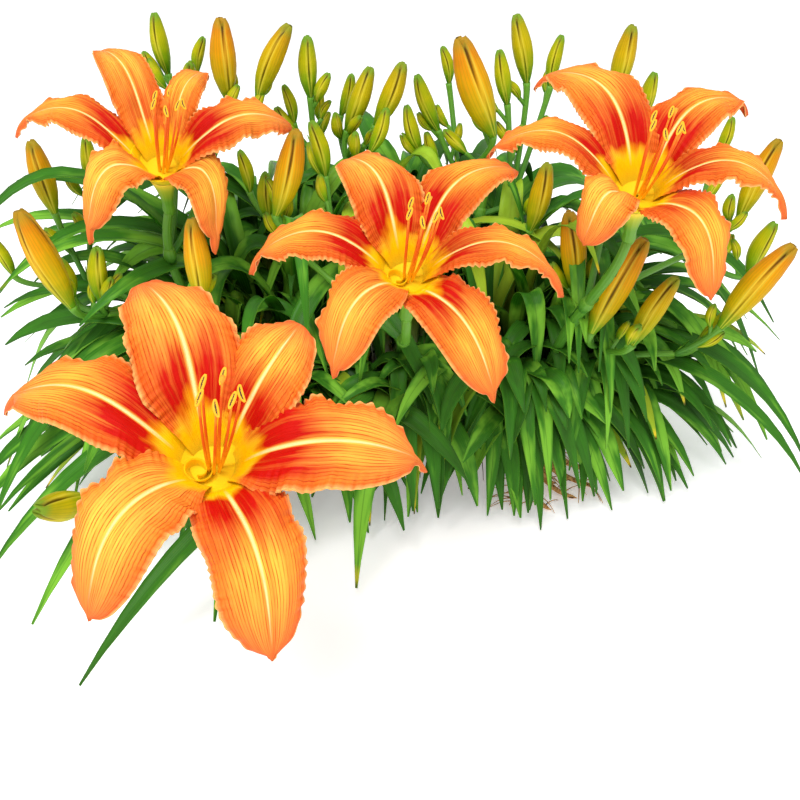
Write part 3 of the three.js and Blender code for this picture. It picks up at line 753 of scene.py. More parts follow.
@dataclass(frozen=True)
class RootSkin:
    """Fleshy root: matt tan skin, wrinkled across, with crumbs of dark soil in the wrinkles.

    Span, half the girth and the length of a root, and the sizes of the patterns are
    millimetres, round it and then along it.
    """

    skin: str = "#D8A765"
    shade: str = "#A87238"
    soil: str = "#3F2714"
    span: tuple[float, float] = (14.4, 54.4)
    wrinkle: tuple[float, float] = (12.0, 1.6)
    crumb: float = 2.38
    patch: float = 16.7

    def make(self, name: str) -> Material:
        """Build the material.

        Args:
            name: what the material is called.

        Returns:
            The finished material.
        """
        ink = Ink(name)
        around, along, seed = ink.mark()
        place = ink.add("CombineXYZ", {0: around, 1: along, 2: seed})
        rings = ink.grains(place, self.span, self.wrinkle, 11, 4.0)
        crumbs = ink.mottle(self.crumb)
        body = ink.add("ValToRGB", {0: rings}, ramp=[(0.35, self.shade), (0.6, self.skin)])
        near_crown = ink.add("MapRange", {0: along, 1: 0.0, 2: 0.35, 3: 0.20, 4: 0.0})
        dirt = ink.add("Math", {0: crumbs, 1: near_crown}, operation="ADD")
        more = ink.add("MapRange", {0: ink.mottle(self.patch), 3: -0.08, 4: 0.10})
        dirt = ink.add("Math", {0: dirt, 1: more}, operation="ADD")
        dirt = ink.add("ValToRGB", {0: dirt}, ramp=[(0.60, 0.0), (0.68, 1.0)])
        body = ink.add("Mix", {0: dirt, 6: body, 7: self.soil}, 2, data_type="RGBA")
        relief = ink.add("Math", {0: rings, 1: crumbs}, operation="ADD")
        bump = ink.add("Bump", {"Strength": 0.7, "Distance": 0.8 * MM, "Height": relief})
        return ink.close(Base_Color=body, Roughness=0.85, Normal=bump)


@dataclass(frozen=True)
class CrownFibre:
    """Crown: dark brown fibrous remains of old leaf bases, dull and stringy.

    String is the width and the height of a fibre in millimetres. Single fibres would be too
    fine to see, so they are drawn as coarse as they need to show.
    """

    dark: str = "#20130A"
    light: str = "#6E4A28"
    string: tuple[float, float] = (2.38, 11.1)

    def make(self, name: str) -> Material:
        """Build the material.

        Args:
            name: what the material is called.

        Returns:
            The finished material.
        """
        ink = Ink(name)
        geometry = ink.add("NewGeometry", out="Position")
        width, length = (1 / (size * MM) for size in self.string)
        stringy = ink.add("VectorMath", {0: geometry, 1: (width, width, length)}, operation="MULTIPLY")
        strings = ink.add("TexNoise", {"Vector": stringy, "Scale": 1.0, "Detail": 5.0})
        body = ink.add("ValToRGB", {0: strings}, ramp=[(0.38, self.dark), (0.68, self.light)])
        bump = ink.add("Bump", {"Strength": 0.9, "Distance": 1.2 * MM, "Height": strings})
        return ink.close(Base_Color=body, Roughness=0.92, Normal=bump)


# ---- Leaves -----------------------------------------------------------------------------
class Growth(Enum):
    """How one of the leaves between the large ones grows."""

    LOW = "comes down to the surface"
    ARCHING = "arches out with its fan"
    CROSSING = "stands short and crosses the others"


@dataclass(frozen=True)
class Fan:
    """One fan of leaves: its foot, the way it leans out, and how its leaves reach and arch.

    The young leaves that fill it swing to both sides of the way that it leans.
    """

    foot: tuple[float, float]
    azimuth: float
    reach: float
    arch: float
    tip: float
    fillers: int = 50
    swing: float = 85


@dataclass(frozen=True)
class Form:
    """Sizes of one leaf."""

    reach: float
    arch: float
    tip: float
    width: float
    sway: float = 0.0
    twist: float = 0.0
    taper: float = 5.0


@dataclass
class LeafFans:
    """Twelve fans of arching strap leaves on the crown.

    The leaves of the first fans, which show in front, are given one by one by their heading,
    reach, arch and tip. The outline and the edges hold the younger leaves inside the mound.
    """

    finish: Material
    fans: tuple[Fan, ...] = (
        Fan((-62, -32), -118, 130, 72, 20, 66),
        Fan((0, -40), -90, 50, 80, 24, 60),
        Fan((62, -32), -62, 64, 80, 22, 66),
        Fan((101, -14), -12, 134, 92, 46, 60),
        Fan((98, 17), 22, 134, 110, 64),
        Fan((46, 36), 62, 116, 140, 92, 44),
        Fan((-46, 36), 118, 118, 146, 98, 44),
        Fan((-98, 17), 158, 138, 120, 116),
        Fan((-101, -14), -160, 142, 100, 44, 60),
        Fan((-76, 0), 178, 150, 160, 120, 44, 120),
        Fan((76, 0), 4, 140, 140, 92, 50, 120),
        Fan((0, 28), 90, 104, 162, 120, 50, 160),
    )
    front_leaves: tuple[tuple[tuple[float, ...], ...], ...] = (
        ((-132.5, 180, 70, 5), (-147.5, 182, 72, 8), (-102.4, 135, 76, 5), (-158, 183, 80, 24)),
        ((-131.5, 222, 66, 4), (-103, 102, 74, 6), (-84, 52, 80, 20), (-66, 56, 78, 22)))
    front_outline: tuple[tuple[float, float], ...] = (
        (-240, -108), (-120, -112), (-25, -92), (113, -76), (184, -56), (239, 0), (256, 30))
    side_edge: float = 256.0
    back_edge: float = 175.0
    leaves_per_fan: int = 4
    leaf_width: float = 12.0
    front_width: float = 14.0
    spread: float = 19.0
    neck_radius: float = 6.2
    neck_height: float = 26.0
    neck_rings: int = 9
    neck_sides: int = 20
    blanched_share: float = 0.16
    sheath: float = 6.0
    ring_radius: float = 26.0
    scatter: float = 44.0
    low_arch: tuple[float, float] = (50, 70)
    low_tip: tuple[float, float] = (3, 24)
    crossing_reach: tuple[float, float] = (34, 92)
    front_twist: float = 0.7
    blade_thickness: float = 0.55
    least_rise: float = 8.0
    waver: float = 1.8
    clearance: float = 0.6
    shortest: float = 6.0
    longest: float = 300.0
    rows: int = 20
    columns: int = 5

    def blade(self, tissue: Tissue, start: Array, heading: float, form: Form, seed: float) -> None:
        """Add one leaf blade: a folded ribbon that rises, arches over and hangs out.

        Args:
            tissue: what it is added to.
            start: where it starts.
            heading: the direction that it arches in, in radians.
            form: its sizes.
            seed: its own number, which sets its shade and waviness.
        """
        out = level(heading)
        side = np.cross(UP, out)
        rise = 0.8 * max(0.0, form.arch - start[2]) + self.least_rise
        ground = start * LEVEL
        t = steps(self.rows)
        middle, tangent = bezier([start, start + out * 0.06 * form.reach + UP * rise,
                                  ground + out * 0.6 * form.reach + UP * form.arch * 1.3,
                                  ground + out * form.reach + UP * form.tip], t)
        middle = middle + side * (form.sway * t ** 2 + self.waver * np.sin(7 * t + 20 * seed) * t)[:, None]
        # The blade twists about its middle line towards its tip.
        up = np.cross(tangent, side)
        turn = (form.twist * t ** 1.5)[:, None]
        flat = side * np.cos(turn) + up * np.sin(turn)
        face = up * np.cos(turn) - side * np.sin(turn)
        across = np.linspace(-1, 1, self.columns)
        swell = 0.62 + 0.38 * eased(t / 0.45)
        half = (0.5 * form.width * swell * np.maximum(0.08, 1 - t ** form.taper))[:, None]
        # It is folded into a channel, which opens towards the tip.
        fold = mix(0.7, 0.18, t)[:, None] * np.abs(across) ** 1.25
        ripple = 0.08 * np.sin(24 * t + 40 * seed)[:, None] * across ** 2
        grid = (middle[:, None] + flat[:, None] * (half * across)[..., None]
                + face[:, None] * (half * (fold + ripple))[..., None])
        grid[..., 2] = np.maximum(grid[..., 2], self.clearance)
        thickness = self.blade_thickness * (1 - 0.5 * t)[:, None]
        tissue.sheet(grid, thickness, stacked(across, t[:, None], OWN_SHARE * seed))

    def neck(self, tissue: Tissue, foot: Array) -> None:
        """Add the white neck where the leaves of a fan sheathe each other.

        Args:
            tissue: what it is added to.
            foot: the middle of its lower end.
        """
        t = steps(self.neck_rings)
        path = foot + UP * (self.neck_height * t)[:, None]
        radius = self.neck_radius * (1 - 0.28 * t) * (1 - 0.1 * bell(t, 0.12))
        ridge = 0.05 * np.cos(5 * turns(self.neck_sides))
        tissue.limb(path, radius, 0.5, self.neck_sides, ridge)
        tissue.marks[-1][:, 1] *= self.blanched_share

    def fan(self, number: int) -> None:
        """Build one fan: the leaves of the construction, and finer ones between them.

        Args:
            number: which fan, from 0.
        """
        fan = self.fans[number]
        foot = vec(*fan.foot, CROWN_TOP + SEAT_GAP)
        start = foot + UP * (self.neck_height - self.sheath)
        tissue = Tissue()
        self.neck(tissue, foot)
        for k in range(self.leaves_per_fan):
            if number < len(self.front_leaves):
                heading, reach, arch, tip = self.front_leaves[number][k]
                width = self.front_width
            else:
                place = k / (self.leaves_per_fan - 1) * 2 - 1
                heading = fan.azimuth + self.spread * place + 5 * (chance(number, k) - 0.5)
                reach = fan.reach * mix(0.88, 1.08, chance(k, number + 3))
                arch = fan.arch * mix(0.9, 1.1, chance(number + 5, k))
                tip = fan.tip * mix(0.4, 1.5, chance(number + 9, k))
                width = self.leaf_width * mix(0.85, 1.12, chance(k, number))
            heading = math.radians(heading)
            twist = 0.5 * (chance(k, number + 40) - 0.5) + self.facing(heading)
            form = Form(reach, arch, tip, 1.1 * width, twist=twist)
            self.blade(tissue, start, heading, form, chance(number * 7 + k, 5))
        for k in range(fan.fillers):
            self.filler(tissue, number, k)
        tissue.piece(f"fan_{number + 1}_leaves", self.finish, "leaf", f"leaves_{number + 1}")

    def facing(self, heading: float) -> float:
        """The twist, in radians, that turns the face of a sideways blade towards the light in front."""
        return self.front_twist * math.cos(heading)

    def room(self, foot: Array, heading: float) -> float:
        """Find how far a leaf may reach before it leaves the mound.

        Args:
            foot: where it starts.
            heading: the direction that it arches in, in radians.

        Returns:
            The reach in millimetres.
        """
        reach = np.arange(self.shortest, self.longest, 3.0)
        x, y = foot[0] + reach * math.cos(heading), foot[1] + reach * math.sin(heading)
        front = np.interp(x, *zip(*self.front_outline))
        outside = (np.abs(x) > self.side_edge) | (y < front) | (y > self.back_edge)
        return float(reach[np.argmax(outside)])

    def filler(self, tissue: Tissue, number: int, k: int) -> None:
        """Add one of the younger leaves that stand round a fan's neck and fill the mound.

        Args:
            tissue: what it is added to.
            number: which fan, from 0.
            k: which of its younger leaves, from 0.
        """
        fan = self.fans[number]
        growth = list(Growth)[k % len(Growth)]
        draw = [chance(number * 31 + k, 60 + n) for n in range(12)]
        if growth is Growth.CROSSING:
            heading = TAU * draw[10]
        else:
            swing = fan.swing * (2 * (k + draw[0]) / fan.fillers - 1)
            heading = math.radians(fan.azimuth + swing + self.scatter * (draw[10] - 0.5))
        away = self.ring_radius * math.sqrt(draw[7])
        foot = vec(*fan.foot, 0) + level(TAU * draw[8]) * vec(1, 0.7, 0) * away
        if growth is Growth.LOW:
            reach = fan.reach * mix(0.6, 1.3, draw[1])
            arch = mix(*self.low_arch, draw[2])
            tip = mix(*self.low_tip, draw[3])
        elif growth is Growth.ARCHING:
            reach = fan.reach * mix(0.45, 1.2, draw[1])
            arch = fan.arch * mix(0.75, 1.15, draw[2])
            tip = arch * mix(0.3, 1.0, draw[3])
        else:
            reach = mix(*self.crossing_reach, draw[1])
            arch = fan.arch * mix(0.7, 1.15, draw[2])
            tip = arch * mix(0.5, 1.05, draw[3])
        reach = min(reach, self.room(foot, heading) * mix(0.82, 1.0, draw[11]))
        width = self.leaf_width * mix(0.72, 1.15, draw[4])
        twist = 1.2 * (draw[6] - 0.5) + self.facing(heading)
        form = Form(reach, arch, tip, width, 0.6 * reach * (draw[9] - 0.5), twist, mix(4, 9, draw[11]))
        self.blade(tissue, foot + UP * (CROWN_TOP + 2), heading, form, draw[5])

    def build(self) -> None:
        """Build all fans."""
        for number in range(len(self.fans)):
            self.fan(number)


# ---- Stalks and flowers -----------------------------------------------------------------
@dataclass(frozen=True)
class Tepal:
    """Where the tip of a petal or sepal stands: azimuth in the face, reach and height.

    The tepal rises by crest before it bends back. Its tip curls down by hook, from 0 to 1,
    its eye is as red as red says, and width is its share of the usual width. Its middle swings
    in the face by swing, in degrees, where that isn't left to bend.
    """

    azimuth: float
    reach: float
    height: float
    crest: float
    hook: float = 0.0
    red: float = 1.0
    width: float = 1.0
    swing: float | None = None

    def bend(self) -> float:
        """Find how far its middle swings upwards in the face, because its end droops.

        Returns:
            The swing in degrees, positive from the right towards up.
        """
        if self.swing is not None:
            return self.swing
        sideways = math.cos(math.radians(self.azimuth))
        return math.copysign(12 * math.sqrt(abs(sideways)), sideways)


@dataclass(frozen=True)
class Flower:
    """An open flower: the middle of its face, the way it faces, and its six tepals.

    Roll is the azimuth in the face round which its first tepal grows, and size its share of
    the usual size. A curled one has a lip rolled up beside its stamens.
    """

    middle: tuple[float, float, float]
    azimuth: float
    elevation: float
    roll: float
    size: float
    tepals: tuple[Tepal, ...]
    curled: bool = False

    def axes(self) -> tuple[Array, Array, Array]:
        """Find the directions of the flower's face.

        Returns:
            Unit vectors out of the face, to its right, and up in it.
        """
        a, e = math.radians(self.azimuth), math.radians(self.elevation)
        out = vec(math.cos(a) * math.cos(e), math.sin(a) * math.cos(e), math.sin(e))
        right = unit(np.cross(UP, out))
        return out, right, np.cross(out, right)

    def point(self, side: Array | float, rise: Array | float, height: Array | float) -> Array:
        """Turn places in the flower's own directions into points of the clump.

        Args:
            side: how far they lie to the right in the face.
            rise: how far they lie up in it.
            height: how far they lie out of it.

        Returns:
            The points in the clump's frame.
        """
        out, right, up = self.axes()
        return (np.asarray(self.middle) + np.multiply.outer(height, out)
                + np.multiply.outer(side, right) + np.multiply.outer(rise, up))


FLOWERS = {
    1: Flower((-67, -246, 161), -85, 60, 168, 1.13, (
        Tepal(158, 84, -14, 19, 1, 0.95, 0.95), Tepal(110, 72, 6, 19, 0, 0.9, 1.04),
        Tepal(54, 57, 8, 14, 0, 0.85, 1.0, 0), Tepal(-4, 76, -8, 17, 0.8, 0.97, 0.95, 4),
        Tepal(-74, 73, -14, 10, 0.3, 0.85), Tepal(-126, 67, -12, 12, 0.3, 0.3, 0.9)), True),
    2: Flower((-115, -67, 215), -80, 58, 175, 1.0, (
        Tepal(155, 77, -12, 18, 1, 0.9, 0.72, -18), Tepal(112, 79, -6, 22, 0.8, 0.6, 0.7),
        Tepal(65, 59, -2, 17, 0.6, 0.5, 0.62), Tepal(18, 68, -10, 20, 0, 0.97, 0.8),
        Tepal(-60, 43, -26, 10, 0.7, 0.5, 0.88, 30), Tepal(-141, 47, -24, 12, 0.7, 0.35, 0.88, -24))),
    3: Flower((3, -143, 190), -90, 58, 175, 1.0, (
        Tepal(173, 69, -12, 18, 1, 0.95, 0.85), Tepal(116, 65, -4, 22, 0.3, 0.9, 0.92),
        Tepal(47, 74, -4, 17, 0.3, 0.95, 0.9), Tepal(-4, 67, -12, 20, 1, 0.8, 0.56),
        Tepal(-57, 66, -18, 10, 0.5, 0.9), Tepal(-123, 56, -14, 12, 0.5, 0.5, 0.85)), True),
    4: Flower((104, -119, 219), -98, 58, 174, 1.0, (
        Tepal(162, 71, -12, 18, 0.5, 0.8, 0.62, -16), Tepal(128, 78, -6, 22, 1, 0.85, 0.92),
        Tepal(46, 69, -4, 17, 1, 0.97, 0.9), Tepal(-3, 63, -12, 20, 1, 0.8, 0.56),
        Tepal(-55, 56, -20, 10, 0.3, 0.7, 0.9, 20), Tepal(-131, 34, -16, 12, 0.2, 0.3, 0.85))),
}


@dataclass
class Flowers:
    """The open flowers: petals over sepals round a throat that holds stamens and style."""

    petal: Material
    sepal: Material
    filament: Material
    anther: Material
    tube_depth: float = 18.0
    throat_radius: float = 5.0
    whorl_step: float = 1.7
    petal_half_width: float = 17.5
    sepal_half_width: float = 15.5
    thickness: float = 0.6
    crimp_length: float = 2.9
    crimp_height: float = 1.15
    flounce_length: float = 18.0
    flounce_height: float = 2.1
    rib_height: float = 0.55
    trough_depth: float = 1.9
    belly_height: float = 1.9
    edge_droop: float = 3.2
    vein_height: float = 0.12
    tip_droop: float = 4.2
    rows: int = 148
    columns: int = 27
    stamen_count: int = 6
    stamen_spread: float = 7.5
    thread_sides: int = 8
    filament_radius: float = 0.64
    filament_length: float = 44.0
    style_radius: float = 0.55
    style_length: float = 52.0
    stigma_radius: float = 0.5
    anther_length: float = 5.0
    anther_radius: float = 0.76
    anther_rings: int = 15
    anther_sides: int = 12

    def spine(self, flower: Flower, tepal: Tepal, step: float, t: Array) -> Array:
        """The middle line of a tepal: its distance from the flower's axis and its height.

        Args:
            flower: the flower that it belongs to.
            tepal: where its tip stands.
            step: how far a sepal lies outside and below the petals.
            t: places along it, from 0 to 1.

        Returns:
            One row for each place.
        """
        size = flower.size
        line, _ = bezier([vec(self.throat_radius * size + step, -self.tube_depth * size),
                          vec(14 * size + step, 7 * size - step),
                          vec(0.62 * tepal.reach, tepal.crest * size - step),
                          vec(tepal.reach, tepal.height - step)], t)
        tongue = tongue_share(t)
        return line + stacked(2.0 * np.sin(2.3 * tongue), -3.0 * tongue ** 1.2) * tepal.hook

    def half_width(self, tepal: Tepal, widest: float, spine: Array, t: Array) -> Array:
        """Find how wide a tepal is: it opens from a narrow claw and ends in a blunt tip.

        Args:
            tepal: the tepal.
            widest: half its width where it is widest.
            spine: its middle line, as distance and height.
            t: places along it, from 0 to 1.

        Returns:
            Half its width at each place.
        """
        # The upper tepals are more pointed than the lower ones.
        bluntness = 3.0 - 0.9 * math.sin(math.radians(tepal.azimuth))
        closing = np.sqrt(1 - np.clip((t - 0.54) / (0.465 - 0.07 * tepal.hook), 0, 1) ** bluntness)
        half = np.minimum(widest * (0.3 + 0.7 * eased(t / 0.55)) * closing, 0.74 * spine[:, 0])
        apex = 2.5 * np.sqrt(np.clip((1 - t) / 0.035, 0, 1)) * (t > 0.88)
        return np.maximum(half, apex + 0.1)

    def tepal(self, flower: Flower, k: int) -> Tissue:
        """Shape one petal or sepal as a frilled sheet.

        Args:
            flower: the flower that it belongs to.
            k: its place round the flower; petals have odd places.

        Returns:
            The tissue with the one sheet.
        """
        tepal = flower.tepals[k]
        is_petal = k % 2 == 1
        size = flower.size
        base = flower.roll - 60 * k
        sweep = (tepal.azimuth - base + 540) % 360 - 180
        t = steps(self.rows)
        spine = self.spine(flower, tepal, 0.0 if is_petal else self.whorl_step, t)
        distance, height = spine[:, 0, None], spine[:, 1, None]
        widest = (self.petal_half_width if is_petal else self.sepal_half_width) * size * tepal.width
        half = self.half_width(tepal, widest, spine, t)[:, None]
        # The columns stand closer together towards the frilled edges.
        u = np.linspace(-1, 1, self.columns)
        across = np.sign(u) * (1 - (1 - np.abs(u)) ** 1.35)
        edge = np.abs(across)
        seed = chance(k + 3, flower.middle[0])
        tongue = tongue_share(t)
        # The throat has no frill, and the curling end has little of it.
        shown = (np.clip((t - 0.16) / 0.25, 0, 1) * (1 - 0.7 * tongue))[:, None]

        def frill(length: float, phase: float) -> Array:
            """Wave both edges, each side with its own rhythm.

            Args:
                length: about how long a wave is.
                phase: what sets this row of waves apart from others.

            Returns:
                From -1 to 1 for each point of the sheet.
            """
            turned = TAU * tepal.reach / length * t
            one = np.sin(turned + 9 * phase + 1.6 * np.sin(8 * t + 5 * phase))
            other = np.sin(1.09 * turned + 17 * phase + 1.6 * np.sin(9 * t + 3 + 7 * phase))
            return np.where(across < 0, one[:, None], other[:, None])

        crimp = frill(self.crimp_length, seed) * (0.7 + 0.3 * frill(9.0, seed + 0.4))
        flounce = frill(self.flounce_length, seed + 0.7)
        swirl = np.radians(base + sweep * t ** 1.3 + tepal.bend() * np.sin(math.pi * t))[:, None]
        spread = half * (1 + (0.017 * crimp + 0.03 * flounce) * shown * edge ** 5)
        angle = swirl + across * spread / distance
        flat = (flower.point(distance * np.cos(angle), distance * np.sin(angle), height)
                - UP * (self.tip_droop * tepal.hook * tongue ** 1.8)[:, None, None])
        normal = normals(flat)
        normal = normal * np.sign(np.sum(normal * flower.axes()[0]))
        # The relief: a midrib in a trough, a belly on each side, veins, and the frilled edge.
        offset = across * half
        rib = self.rib_height * bell(offset, 0.8) - self.trough_depth * bell(offset, 2.8)
        belly = self.belly_height * (1 - (2 * edge - 1) ** 2) - self.edge_droop * edge ** 3.2
        veined = self.vein_height * np.sin(20 * edge * math.pi + seed) * (1 - edge ** 4)
        grown = (np.sin(t * math.pi) ** 0.7)[:, None] * shown
        lift = size * (self.crimp_height * crimp * edge ** 4.5 + self.flounce_height * flounce * edge ** 3)
        rolled = 1.7 * tepal.hook * tongue[:, None] * edge ** 2
        grid = flat + normal * ((rib + belly + veined) * grown + lift * shown - rolled)[..., None]
        marks = stacked(across, t[:, None], OWN_SHARE * tepal.red)
        tissue = Tissue()
        tissue.sheet(grid[:, ::-1], self.thickness * (1.2 - 0.7 * edge), marks[:, ::-1])
        return tissue

    def throat(self, name: int, flower: Flower) -> None:
        """Build the floor of the throat, and in a curled flower the lip beside the stamens.

        Args:
            name: the flower's number.
            flower: the flower.
        """
        tissue = Tissue()

        def ring(radius: Array, turn: Array, rise: Array, depth: Array, left: float = 0.0,
                 down: float = 0.0) -> None:
            """Add a sheet round the flower's axis.

            Args:
                radius: how far its points lie from the axis.
                turn: their angles round it, in radians.
                rise: their heights out of the face.
                depth: the places along a tepal whose colours they take.
                left: how far the sheet's own middle is moved to the left in the face.
                down: how far it is moved down in the face.
            """
            grid = flower.point(flower.size * (radius * np.cos(turn) - left),
                                flower.size * (radius * np.sin(turn) - down), flower.size * rise)
            tissue.sheet(grid, 0.5, stacked(0.3, depth, 0.1))

        # The lip, which rolls up beside the stamens.
        if flower.curled:
            height, share = np.meshgrid(steps(8), steps(56))
            turn = mix(-0.5, 2.1, share) * math.pi
            flare = mix(2.4, 5.0, share) * (0.82 + 0.18 * height ** 1.5)
            ring(flare, turn, -14.2 + (4.2 - 1.2 * np.cos(turn)) * height, 0.04 + 0.1 * height, 4.6, 1.8)
        # The floor, a shallow dish.
        around, share = np.meshgrid(np.linspace(0, TAU, 41), np.linspace(0.05, 1, 7))
        ring(12.6 * share, -around, -14.5 + 6.0 * share ** 2.2, 0.07 + 0.07 * share)
        # The wall, a funnel that meets the tepals.
        around, share = np.meshgrid(np.linspace(0, TAU, 41), steps(7))
        ring(mix(6.8, 14.8, share), -around, mix(-17.6, -5.4, share ** 0.9), 0.06 + 0.08 * share)
        tissue.piece(f"flower_{name}_throat", self.petal, "petal")

    def sac(self, sacs: Tissue, flower: Flower, tip: Array, tangent: Array, k: int) -> None:
        """Add one anther: a bowed loaf across the end of its filament, with its slit facing out.

        Args:
            sacs: what it is added to.
            flower: the flower that it belongs to.
            tip: the end of its filament.
            tangent: the way that the filament points there.
            k: which stamen it is.
        """
        out, right, up = flower.axes()
        tilt = unit(0.4 * tangent + up * 0.8 + right * 0.8 * (chance(k, 21) - 0.5))
        reach = np.linspace(-0.45, 0.65, self.anther_rings) * self.anther_length * flower.size
        bow = (chance(k, 33) - 0.5) * 1.5 * np.linspace(-1, 1, self.anther_rings) ** 2
        line = tip + tilt * reach[:, None] - right * bow[:, None]
        plump = self.anther_radius * np.sin(np.linspace(0.12, math.pi - 0.12, self.anther_rings)) ** 0.5
        turn = turns(self.anther_sides)
        middle = frames_along(line)[0][self.anther_rings // 2]
        # The angle round the anther at which its slit looks out of the face.
        facing = math.atan2(float(np.cross(middle, out) @ tilt), float(middle @ out))
        lips = 0.42 * np.abs(np.sin(turn - facing)) - 0.45 * bell(np.sin((turn - facing) / 2) * 2, 0.5)
        sacs.limb(line, plump, 0.5, self.anther_sides, lips)
        slit = np.abs((turn - facing + math.pi) % TAU - math.pi) / math.pi
        sacs.marks[-1][:, 0] = np.tile(slit, self.anther_rings)

    def stamens(self, name: int, flower: Flower) -> None:
        """Build the stamens with their anthers, and the longer style.

        Args:
            name: the flower's number.
            flower: the flower.
        """
        floor = -self.tube_depth * flower.size
        threads, sacs = Tissue(), Tissue()
        t = steps(22)
        for k in range(self.stamen_count + 1):
            is_style = k == self.stamen_count
            side, rise = level(math.radians(60 * k + 20))[:2]
            spread = 0.0 if is_style else self.stamen_spread * mix(0.7, 1.1, chance(k, 3))
            length = self.style_length if is_style else self.filament_length * mix(0.88, 1.05, chance(k, 8))
            top = floor + length * flower.size
            lean = 1.3 if is_style else 1.0
            path, tangent = bezier([
                flower.point(1.7 * side, 1.7 * rise, floor + 1),
                flower.point(0.75 * spread * side + 4 * lean, 0.75 * spread * rise - 3,
                             mix(floor, top, 0.55)),
                flower.point(spread * side + 7 * lean, spread * rise + 4 * lean, top)], t)
            if is_style:
                radius = self.style_radius * (1 - 0.3 * t) + self.stigma_radius * bell(t - 1, 0.03)
            else:
                radius = self.filament_radius * (1 - 0.3 * t)
                self.sac(sacs, flower, path[-1], tangent[-1], k)
            threads.limb(path, radius, 0.5, self.thread_sides)
        threads.piece(f"flower_{name}_filaments", self.filament, "stamen", f"flower_{name}_stamens")
        sacs.piece(f"flower_{name}_anthers", self.anther, "stamen")

    def build(self) -> None:
        """Build all flowers."""
        for name, flower in FLOWERS.items():
            for k in range(len(flower.tepals)):
                kind, finish = ("petal", self.petal) if k % 2 else ("sepal", self.sepal)
                node = f"flower_{name}_{kind}_{k // 2 + 1}"
                self.tepal(flower, k).piece(f"{node}_frilled", finish, kind, node)
            self.throat(name, flower)
            self.stamens(name, flower)


@dataclass(frozen=True)
class Stalk:
    """A flower stalk: its foot on the crown, two points that bend it and its upper end."""

    foot: tuple[float, float]
    bend: tuple[tuple[float, float, float], tuple[float, float, float]]
    end: tuple[float, float, float] | None = None


STALKS = {
    1: Stalk((-8, -26), ((-10, -70, 118), (-72, -214, 84))),
    2: Stalk((-81, -20), ((-112, -22, 100), (-132, -38, 140))),
    3: Stalk((0, -8), ((0, -30, 120), (3, -112, 118))),
    4: Stalk((82, -24), ((86, -40, 120), (100, -100, 150))),
    5: Stalk((-54, -17), ((-66, -14, 116), (-112, -6, 110)), (-150, -32, 112)),
    6: Stalk((-9, 15), ((-20, 17, 110), (-40, 20, 130)), (-44, 22, 168)),
    7: Stalk((9, 15), ((24, 17, 110), (46, 20, 130)), (50, 24, 168)),
    8: Stalk((54, -18), ((80, -18, 88), (106, -31, 80)), (122, -42, 92)),
}


@dataclass(frozen=True)
class Cluster:
    """Buds of one stalk: at what share of its length the branches leave it, and their buds.

    A bud is its foot, its lean to +X for each unit of rise, and its length.
    """

    at: float
    branches: tuple[tuple[tuple[float, ...], ...], ...]


@dataclass(frozen=True)
class LowBud:
    """The low bud of the front stalk: where its branch leaves the stalk, and how the bud lies."""

    stalk: int = 1
    at: float = 0.5
    bend: tuple[float, float, float] = (-32, 18, -4)
    foot: tuple[float, float, float] = (-154, -133, 57)
    toward: tuple[float, float, float] = (-0.35, -0.8, 0.45)
    length: float = 38
    ripe: float = 0.2


CLUSTERS = {
    2: Cluster(0.8, (
        ((-131, 42, 226, -0.1, 33), (-113, 32, 229, 0.3, 20)),
        ((-94, 17, 218, 0, 42), (-77, 10, 220, 0.5, 42)))),
    3: Cluster(0.62, (
        ((-41, -3, 181, -0.2, 31), (-65, -40, 172, 0.3, 46)),
        ((-83, -3, 172, -0.15, 24), (-72, -14, 160, 0, 27)))),
    4: Cluster(0.66, (
        ((119, 27, 217, 0.15, 38), (140, 45, 199, 0.15, 28)),
        ((190, -3, 157, 0.3, 46), (183, 34, 181, 0.25, 24), (199, -8, 126, 0.3, 32)))),
    5: Cluster(0.9, (
        ((-171, -63, 130, -0.32, 55), (-160, -50, 128, 0.1, 31), (-178, -40, 126, -0.1, 22)),
        ((-193, -3, 160, -0.12, 41), (-180, 24, 168, 0.1, 28), (-222, -6, 124, -0.3, 24)),
        ((-101, -73, 138, 0, 44),))),
    6: Cluster(0.86, (
        ((-49, 17, 219, 0, 32), (-60, 28, 202, -0.2, 22), (-45, 38, 200, 0, 20)),
        ((-34, 34, 205, 0.3, 24), (-30, 20, 200, 0.4, 37), (-14, 15, 204, 0.45, 37),
         (-17, 2, 193, 0.4, 26)))),
    7: Cluster(0.86, (
        ((50, -3, 204, -0.38, 53), (28, 46, 220, -0.2, 21), (22, 28, 198, -0.4, 33),
         (12, 18, 188, -0.3, 28)),
        ((60, 26, 213, -0.2, 30), (71, 34, 223, -0.22, 37), (85, 39, 220, 0.15, 28),
         (73, -3, 150, 0.18, 39)))),
    8: Cluster(0.92, (
        ((95, -36, 128, -0.15, 45), (108, -20, 122, 0, 22), (101, -64, 116, 0.4, 56),
         (121, -73, 113, 0.45, 42)),
        ((172, -54, 114, 0.62, 55), (163, -46, 98, 0.6, 26)))),
}


